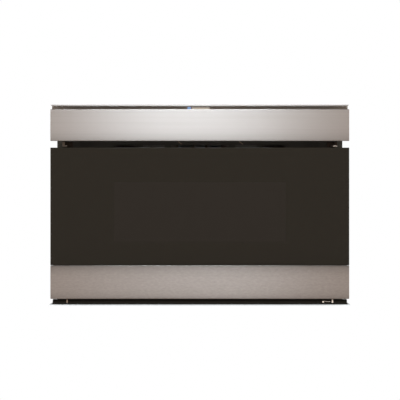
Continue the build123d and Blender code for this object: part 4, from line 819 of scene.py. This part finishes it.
class DRAWER_OT_door_glass(DrawerOperator):
    """Grind the printed glass of the door"""
    bl_idname = "drawer.door_glass"
    bl_label = "Door glass"

    def execute(self, context):
        low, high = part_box("door_glass")
        bm = bmesh.new()
        block(bm, low, high)
        soften(bm, sizes().ground_edge, lambda edge: along(edge, "Y"))
        soften(bm, sizes().ground_edge, lambda edge: all(vert.co.y < low.y + 1e-6 for vert in edge.verts), 3)
        dress("door_glass", "door_glass_ground", bm)
        return {"FINISHED"}


class DRAWER_OT_sheet_pieces(DrawerOperator):
    """Round the edges of the folded and moulded pieces that show"""
    bl_idname = "drawer.sheet_pieces"
    bl_label = "Sheet and moulded pieces"

    def execute(self, context):
        for node in ("top_trim", "bottom_trim", "panel_brackets", "choke_frame", "choke_cover", "door_frame",
                     "panel_housing", "drawer_tub", "tub_tray"):
            bm = softened_copy(node, sizes().edge_wear)
            if node_slot[node] == "stainless":
                grain_map(bm)
            if node == "bottom_trim":
                self.front_lip(bm)
            dress(node, node + "_rounded", bm)
        return {"FINISHED"}

    def front_lip(self, bm):
        """A low lip along the front of the bottom strip, a little wider than the strip."""
        wider, forward, depth, height = 1.4 * MM, 0.6 * MM, 1 * MM, 0.9 * MM
        low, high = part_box("bottom_trim")
        rounded_block(bm, (low.x - wider, low.y - forward, low.z), (high.x + wider, low.y + depth, low.z + height),
                      0, "Z", 0.2 * MM)


class DRAWER_OT_bottom_clips(DrawerOperator):
    """Bend the clips and the small tab that hold the bottom strip"""
    bl_idname = "drawer.bottom_clips"
    bl_label = "Bottom clips"

    def execute(self, context):
        clip_x, slimmer = 269.5 * MM, 0.6
        bm = merged_copy("trim_clips")
        for vert in bm.verts:
            middle = math.copysign(clip_x, vert.co.x)
            vert.co.x = middle + slimmer * (vert.co.x - middle)
        soften(bm, 0.15 * MM, lambda edge: edge.is_manifold)
        front_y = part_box("bottom_trim")[0].y
        left, right, low_z, high_z, thick = 249 * MM, 252 * MM, 3.3 * MM, 6.4 * MM, 0.8 * MM
        rounded_block(bm, (left, front_y - thick, low_z), (right, front_y, high_z), 0.5 * MM, "Y", 0.15 * MM)
        wire_y, wire_end = front_y - thick / 2, left + 16 * MM
        rod(bm, (right, wire_y, 6.2 * MM), (wire_end, wire_y, 5.1 * MM), thick / 2, 0.1 * MM, 10)
        dress("trim_clips", "trim_clips_bent", bm)
        return {"FINISHED"}


class DRAWER_OT_slot(DrawerOperator):
    """Fit the lacquered strip, the status lamp's lens and the sensor window into the slot"""
    bl_idname = "drawer.slot"
    bl_label = "Slot pieces"

    def execute(self, context):
        for node, name, wider, taller, corner, edge in (
                ("sensor_strip", "sensor_strip_lacquered", 2, 0, 0.8, 0.3),
                ("status_lamp", "status_lamp_lens", 0, 0, 1.2, 0.15),
                ("sensor_window", "sensor_window_lens", 0, 0.45, 0.6, 0.15)):
            low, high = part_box(node)
            reach = Vector((wider, 0, taller)) * MM
            bm = bmesh.new()
            rounded_block(bm, low - reach, high + reach, corner * MM, "Y", edge * MM)
            dress(node, name, bm)
        return {"FINISHED"}


class DRAWER_OT_touch_controls(DrawerOperator):
    """Grind the touch glass and print its digits and plain marks"""
    bl_idname = "drawer.touch_controls"
    bl_label = "Touch controls"

    def execute(self, context):
        digit_height, digit_step, clock_height = 7 * MM, 26, 13 * MM
        key_x, key_radius, key_line, arrow_x = 226 * MM, 5.2 * MM, 0.5 * MM, 252 * MM
        low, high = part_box("touch_glass")
        bm = bmesh.new()
        rounded_block(bm, low, high, 2 * MM, "Z", 0.4 * MM)
        dress("touch_glass", "touch_glass_ground", bm)
        middle_y, print_z = (low.y + high.y) / 2, high.z - 0.02 * MM
        marks = bmesh.new()
        for digits, first_x in (("12345", -196), ("67890", 92)):
            for index, digit in enumerate(digits):
                place = Matrix.Translation(((first_x + digit_step * index) * MM, middle_y, print_z))
                self.text(marks, digit, digit_height, place)
        for x, sides, radius, turn in ((-key_x, 4, 2.6, -45), (key_x, 3, 2.6, -90),
                                       (-arrow_x, 3, 4, 0), (arrow_x, 3, 4, -180)):
            place = Matrix.Translation((x, middle_y, print_z))
            if abs(x) == key_x:
                self.ring(marks, key_radius, key_line, place)
            self.polygon(marks, sides, radius * MM, place @ Matrix.Rotation(math.radians(turn), 4, "Z"))
        put("touch_marks", marks, "control_panel", FINISHES["touch print"])
        clock = bmesh.new()
        self.text(clock, "12:00", clock_height, Matrix.Translation((0, middle_y, print_z)))
        put("clock_digits", clock, "control_panel", FINISHES["clock digits"])
        return {"FINISHED"}

    def text(self, bm, words, height, place):
        """Print digits of a height."""
        curve = bpy.data.curves.new("digits", "FONT")
        curve.body, curve.size = words, height
        curve.align_x = curve.align_y = "CENTER"
        curve.extrude = 0.03 * MM
        holder = bpy.data.objects.new("digits", curve)
        bpy.context.scene.collection.objects.link(holder)
        mesh = bpy.data.meshes.new_from_object(holder)
        mesh.transform(place)
        bm.from_mesh(mesh)
        bmesh.ops.remove_doubles(bm, verts=bm.verts, dist=0.001 * MM)
        bpy.data.objects.remove(holder)
        bpy.data.curves.remove(curve)
        bpy.data.meshes.remove(mesh)

    def polygon(self, bm, sides, radius, place):
        """Print a filled mark with even sides."""
        part = bmesh.new()
        bmesh.ops.create_cone(part, cap_ends=True, segments=sides, radius1=radius, radius2=radius, depth=0.06 * MM)
        add(bm, part, place)

    def ring(self, bm, radius, width, place):
        """Print a ring."""
        outer, thick = radius + width, 0.03 * MM
        add(bm, turned_ring([(radius, 0), (outer, 0), (outer, thick), (radius, thick)], 48), place)


class DRAWER_OT_spring_ends(DrawerOperator):
    """Hang the hooked ends of the panel's two springs under the panel"""
    bl_idname = "drawer.spring_ends"
    bl_label = "Spring ends"

    def execute(self, context):
        wire, from_front = 0.6 * MM, 14 * MM
        runs = (((0, 0, 1.5), (2, 0, -1)), ((1.8, 0, -0.8), (8, 0, -5.2)))
        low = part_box("panel_housing")[0]
        bm = bmesh.new()
        for x in (-44 * MM, 80 * MM):
            top = Vector((x, low.y + from_front, low.z))
            for upper, lower in runs:
                rod(bm, top + Vector(upper) * MM, top + Vector(lower) * MM, wire, 0.1 * MM, 10)
        put("panel_spring_ends", bm, "control_panel", FINISHES["dull wire"])
        return {"FINISHED"}


class DRAWER_OT_casing(DrawerOperator):
    """Press the stiffening beads out of the casing and soften its sheets"""
    bl_idname = "drawer.casing"
    bl_label = "Casing"
    edge = 0.25 * MM
    from_front = 55 * MM

    def execute(self, context):
        self.top_cover()
        self.side_covers()
        self.rear_panel()
        self.front_frame()
        return {"FINISHED"}

    def top_cover(self):
        """Four beads along the top, ending before its vents."""
        low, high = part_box("top_cover")
        front, back = low.y + self.from_front, high.y - 165 * MM
        bm = softened_copy("top_cover", self.edge)
        for x in (-190 * MM, -63 * MM, 63 * MM, 190 * MM):
            pressed_bead(bm, (x, front, high.z), (x, back, high.z), (0, 0, 1))
        dress("top_cover", "top_cover_pressed", bm)

    def side_covers(self):
        """Two beads along each side, ending before its vents."""
        for side, node in ((-1, "left_side_cover"), (1, "right_side_cover")):
            low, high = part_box(node)
            front, back = low.y + self.from_front, high.y - 160 * MM
            outer = high.x if side > 0 else low.x
            bm = softened_copy(node, self.edge)
            for z in (85 * MM, 285 * MM):
                pressed_bead(bm, (outer, front, z), (outer, back, z), (side, 0, 0))
            dress(node, node + "_pressed", bm)

    def rear_panel(self):
        """A ring round the rear grille, beads beside and below it, and the membrane in the cord's gland."""
        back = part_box("rear_panel")[1].y
        axis_z = sum(corner.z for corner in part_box("fan_blade")) / 2
        ring_radius, beside_x, below_x, below_z = 68 * MM, 165 * MM, 70 * MM, 62 * MM
        z_low, z_high = axis_z - 110 * MM, axis_z + 60 * MM
        bm = softened_copy("rear_panel", self.edge)
        pressed_ring(bm, (0, back, axis_z), ring_radius)
        for x in (-beside_x, beside_x):
            pressed_bead(bm, (x, back, z_low), (x, back, z_high), (0, 1, 0))
        pressed_bead(bm, (-below_x, back, below_z), (below_x, back, below_z), (0, 1, 0))
        dress("rear_panel", "rear_panel_pressed", bm)
        low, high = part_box("cord_bushing")
        middle, half_thick, radius = (low + high) / 2, Vector((0, 0.6 * MM, 0)), 0.4 * (high.x - low.x)
        bm = bmesh.new()
        rod(bm, middle - half_thick, middle + half_thick, radius, 0.2 * MM, 32)
        put("bushing_membrane", bm, "housing", FINISHES["rubber"])

    def front_frame(self):
        """The frame with its flange brought out sideways and its side slots closed."""
        low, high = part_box("front_frame")
        bm = softened_copy("front_frame", 0.2 * MM)
        for vert in bm.verts:
            if abs(vert.co.x) > high.x - 0.5 * MM:
                vert.co.x += math.copysign(sizes().flange_reach, vert.co.x)
        self.shade_pockets(bm, low.y + 1 * MM)
        dress("front_frame", "front_frame_painted", bm)

    def shade_pockets(self, bm, back):
        """Close the two side slots of the front frame with shallow pockets behind it, dark sheets that stand in for
        shade.
        """
        middle_x, half_width, depth, sheet = 230.5 * MM, 15 * MM, 5 * MM, 0.8 * MM
        glass_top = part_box("door_glass")[1].z
        z_low, z_high = glass_top + 1.5 * MM, glass_top + 13.5 * MM
        for x in (-middle_x, middle_x):
            left, right = x - half_width, x + half_width
            for low, high in (((left, back + depth, z_low), (right, back + depth + sheet, z_high)),
                              ((left, back, z_low), (right, back + depth, z_low + sheet)),
                              ((left, back, z_high - sheet), (right, back + depth, z_high)),
                              ((left, back, z_low + sheet), (left + sheet, back + depth, z_high - sheet)),
                              ((right - sheet, back, z_low + sheet), (right, back + depth, z_high - sheet))):
                rounded_block(bm, low, high, 0, "Z", 0.1 * MM)


# -------- stage
class Surroundings(Nodes):
    """The nodes of the floor or the room, which each kind of ray sees in its own way."""

    def seen_by(self, *rays):
        """1 for any of the named kinds of ray, else 0."""
        path = self.add("LightPath").outputs
        total = path[f"Is {rays[0]} Ray"]
        for ray in rays[1:]:
            total = self.math("MAXIMUM", total, path[f"Is {ray} Ray"])
        return total

    def warm_in_front(self, start, full):
        """White, turning warm from one distance in front of the drawer's middle to another."""
        return self.blend(self.carry(self.where()["Y"], start, full), WHITE, (1.2, 1.0, 0.86))

    def diffuse(self, tone):
        """A dull surface of a tone."""
        return self.add("BsdfDiffuse", {"Color": tone}).outputs["BSDF"]

    def glow(self, tone, strength):
        """A surface that shines with a tone."""
        return self.add("Emission", {"Color": tone, "Strength": strength}).outputs["Emission"]

    def mixed(self, share, first, second):
        """A surface between two others."""
        return self.add("MixShader", {0: share, 1: first, 2: second}).outputs["Shader"]


class DRAWER_OT_stage(DrawerOperator):
    """Set the floor, the soft lights and the camera"""
    bl_idname = "drawer.stage"
    bl_label = "Stage"

    def execute(self, context):
        cool, warm = (0.9, 1.0, 1.06), (1.05, 1.0, 0.96)
        front, middle = cad_low.y, (0, 0, 0.2)
        self.floor()
        self.world(context.scene)
        for name, place, target, size, watts, tint, degrees in (
                ("Soft light over the camera", (-0.028, -1.5, 1.15), (-0.028, front, 0.3), (0.42, 0.3),
                 22 * sizes().lamp_strength, cool, 180),
                ("Low light", (0.09, -1.9, 0.62), (0.11, front, 0.04), (0.12, 0.12), 0.012, cool, 20),
                ("Left fill", (-2.4, -1.6, 1.4), middle, (1.6, 1.6), 14, warm, 180),
                ("Right fill", (2.4, -1.6, 1.4), middle, (1.6, 1.6), 14, warm, 180),
                ("Top light", (0, 0.4, 2.6), middle, (2.0, 2.0), 22, warm, 180)):
            light = bpy.data.lights.new(name, "AREA")
            light.shape, light.energy, light.color = "RECTANGLE", watts, tint
            light.size, light.size_y = size
            light.spread = math.radians(degrees)
            lamp = bpy.data.objects.new(name, light)
            lamp.visible_camera = False
            lamp.location = place
            lamp.rotation_euler = (Vector(target) - Vector(place)).to_track_quat("-Z", "Y").to_euler()
            context.scene.collection.objects.link(lamp)
        self.camera(context.scene)
        return {"FINISHED"}

    def floor(self):
        """Lay a pale floor just under the drawer."""
        bm = bmesh.new()
        bmesh.ops.create_grid(bm, x_segments=8, y_segments=8, size=6)
        bmesh.ops.translate(bm, vec=(0, 0, -0.2 * MM), verts=bm.verts)
        floor = mesh_object("floor", bm, self.floor_finish())

    def floor_finish(self):
        """Pale, dark where it touches the drawer, plain white to the camera further off, and bright in reflections."""
        pale, deep = (0.9, 0.9, 0.9), (0.1, 0.1, 0.1)
        shadow_reach, shadow_power, fade_reach, narrow_sides = 0.12, 2.0, 0.14, (45, 1, 1)
        material = bpy.data.materials.new("Pale floor")
        material.use_nodes = True
        finish = Surroundings(material.node_tree)
        nodes = material.node_tree.nodes
        nodes.remove(nodes["Principled BSDF"])
        contact = finish.add("AmbientOcclusion", {"Distance": shadow_reach}, samples=8).outputs["AO"]
        shaded = finish.diffuse(finish.blend(finish.math("POWER", contact, shadow_power), deep, pale))
        near = finish.add("AddShader", {0: shaded, 1: finish.glow(WHITE, 0.03)}).outputs["Shader"]
        beyond = finish.vector("SUBTRACT", finish.vector("ABSOLUTE", finish.place), (cad_high.x, cad_high.y, 0))
        away = finish.vector("LENGTH", finish.vector("MULTIPLY", finish.vector("MAXIMUM", beyond, BLACK), narrow_sides))
        fade = finish.carry(away, 0.0, fade_reach, interpolation_type="SMOOTHSTEP")
        shown = finish.mixed(fade, near, finish.glow(WHITE, 1.0))
        lit = finish.mixed(finish.seen_by("Camera", "Transmission"), finish.diffuse(pale), shown)
        reflected = finish.glow(finish.warm_in_front(-0.27, -0.31), 0.93)
        finish.feed(nodes["Material Output"].inputs["Surface"],
                    finish.mixed(finish.seen_by("Glossy"), lit, reflected))
        return material

    def world(self, scene):
        """Surround the drawer with an even pale room, warm in front where it is reflected."""
        scene.world = bpy.data.worlds.new("Soft studio")
        scene.world.use_nodes = True
        room = Surroundings(scene.world.node_tree)
        background = scene.world.node_tree.nodes["Background"].inputs
        room.feed(background["Color"], room.blend(room.seen_by("Glossy"), WHITE, room.warm_in_front(-0.25, -0.55)))
        seen, lighting, showing = room.seen_by("Camera", "Glossy", "Transmission"), 0.55, 1.0
        room.feed(background["Strength"], room.carry(seen, 0.0, 1.0, lighting, showing))

    def camera(self, scene):
        """Look at the front as the photograph does."""
        across, height = 0.0004, 0.2117
        size = sizes()
        view = bpy.data.cameras.new("Camera")
        view.lens = view.sensor_width * size.camera_distance / size.picture_width
        view.clip_end = 100
        camera = bpy.data.objects.new("Camera", view)
        camera.location = (across, cad_low.y - size.camera_distance, height)
        camera.rotation_euler = (math.radians(90), 0, 0)
        scene.collection.objects.link(camera)
        scene.camera = camera
        scene.view_settings.view_transform = "Standard"


# -------- add-on
PIECES = (DRAWER_OT_finishes, DRAWER_OT_fascia, DRAWER_OT_lower_band, DRAWER_OT_door_glass,
          DRAWER_OT_sheet_pieces, DRAWER_OT_bottom_clips, DRAWER_OT_slot, DRAWER_OT_touch_controls,
          DRAWER_OT_spring_ends, DRAWER_OT_casing, DRAWER_OT_stage)


class DRAWER_PT_looks(bpy.types.Panel):
    """Lists the operators that dress the drawer"""
    bl_label = "Microwave drawer"
    bl_idname = "DRAWER_PT_looks"
    bl_space_type = "VIEW_3D"
    bl_region_type = "UI"
    bl_category = "Drawer"

    def draw(self, context):
        layout = self.layout
        for group in (colours(), sizes()):
            for name in group.__annotations__:
                layout.prop(group, name)
        for piece in PIECES:
            layout.operator(piece.bl_idname)


CLASSES = (DrawerColours, DrawerSizes, *PIECES, DRAWER_PT_looks)


def register():
    for item in CLASSES:
        bpy.utils.register_class(item)
    bpy.types.Scene.drawer_colours = bpy.props.PointerProperty(type=DrawerColours)
    bpy.types.Scene.drawer_sizes = bpy.props.PointerProperty(type=DrawerSizes)


def unregister():
    del bpy.types.Scene.drawer_sizes
    del bpy.types.Scene.drawer_colours
    for item in reversed(CLASSES):
        bpy.utils.unregister_class(item)


def main():
    """Dress the drawer."""
    register()
    for piece in PIECES:
        group, name = piece.bl_idname.split(".")
        getattr(getattr(bpy.ops, group), name)()


if __name__ == "__main__":
    main()
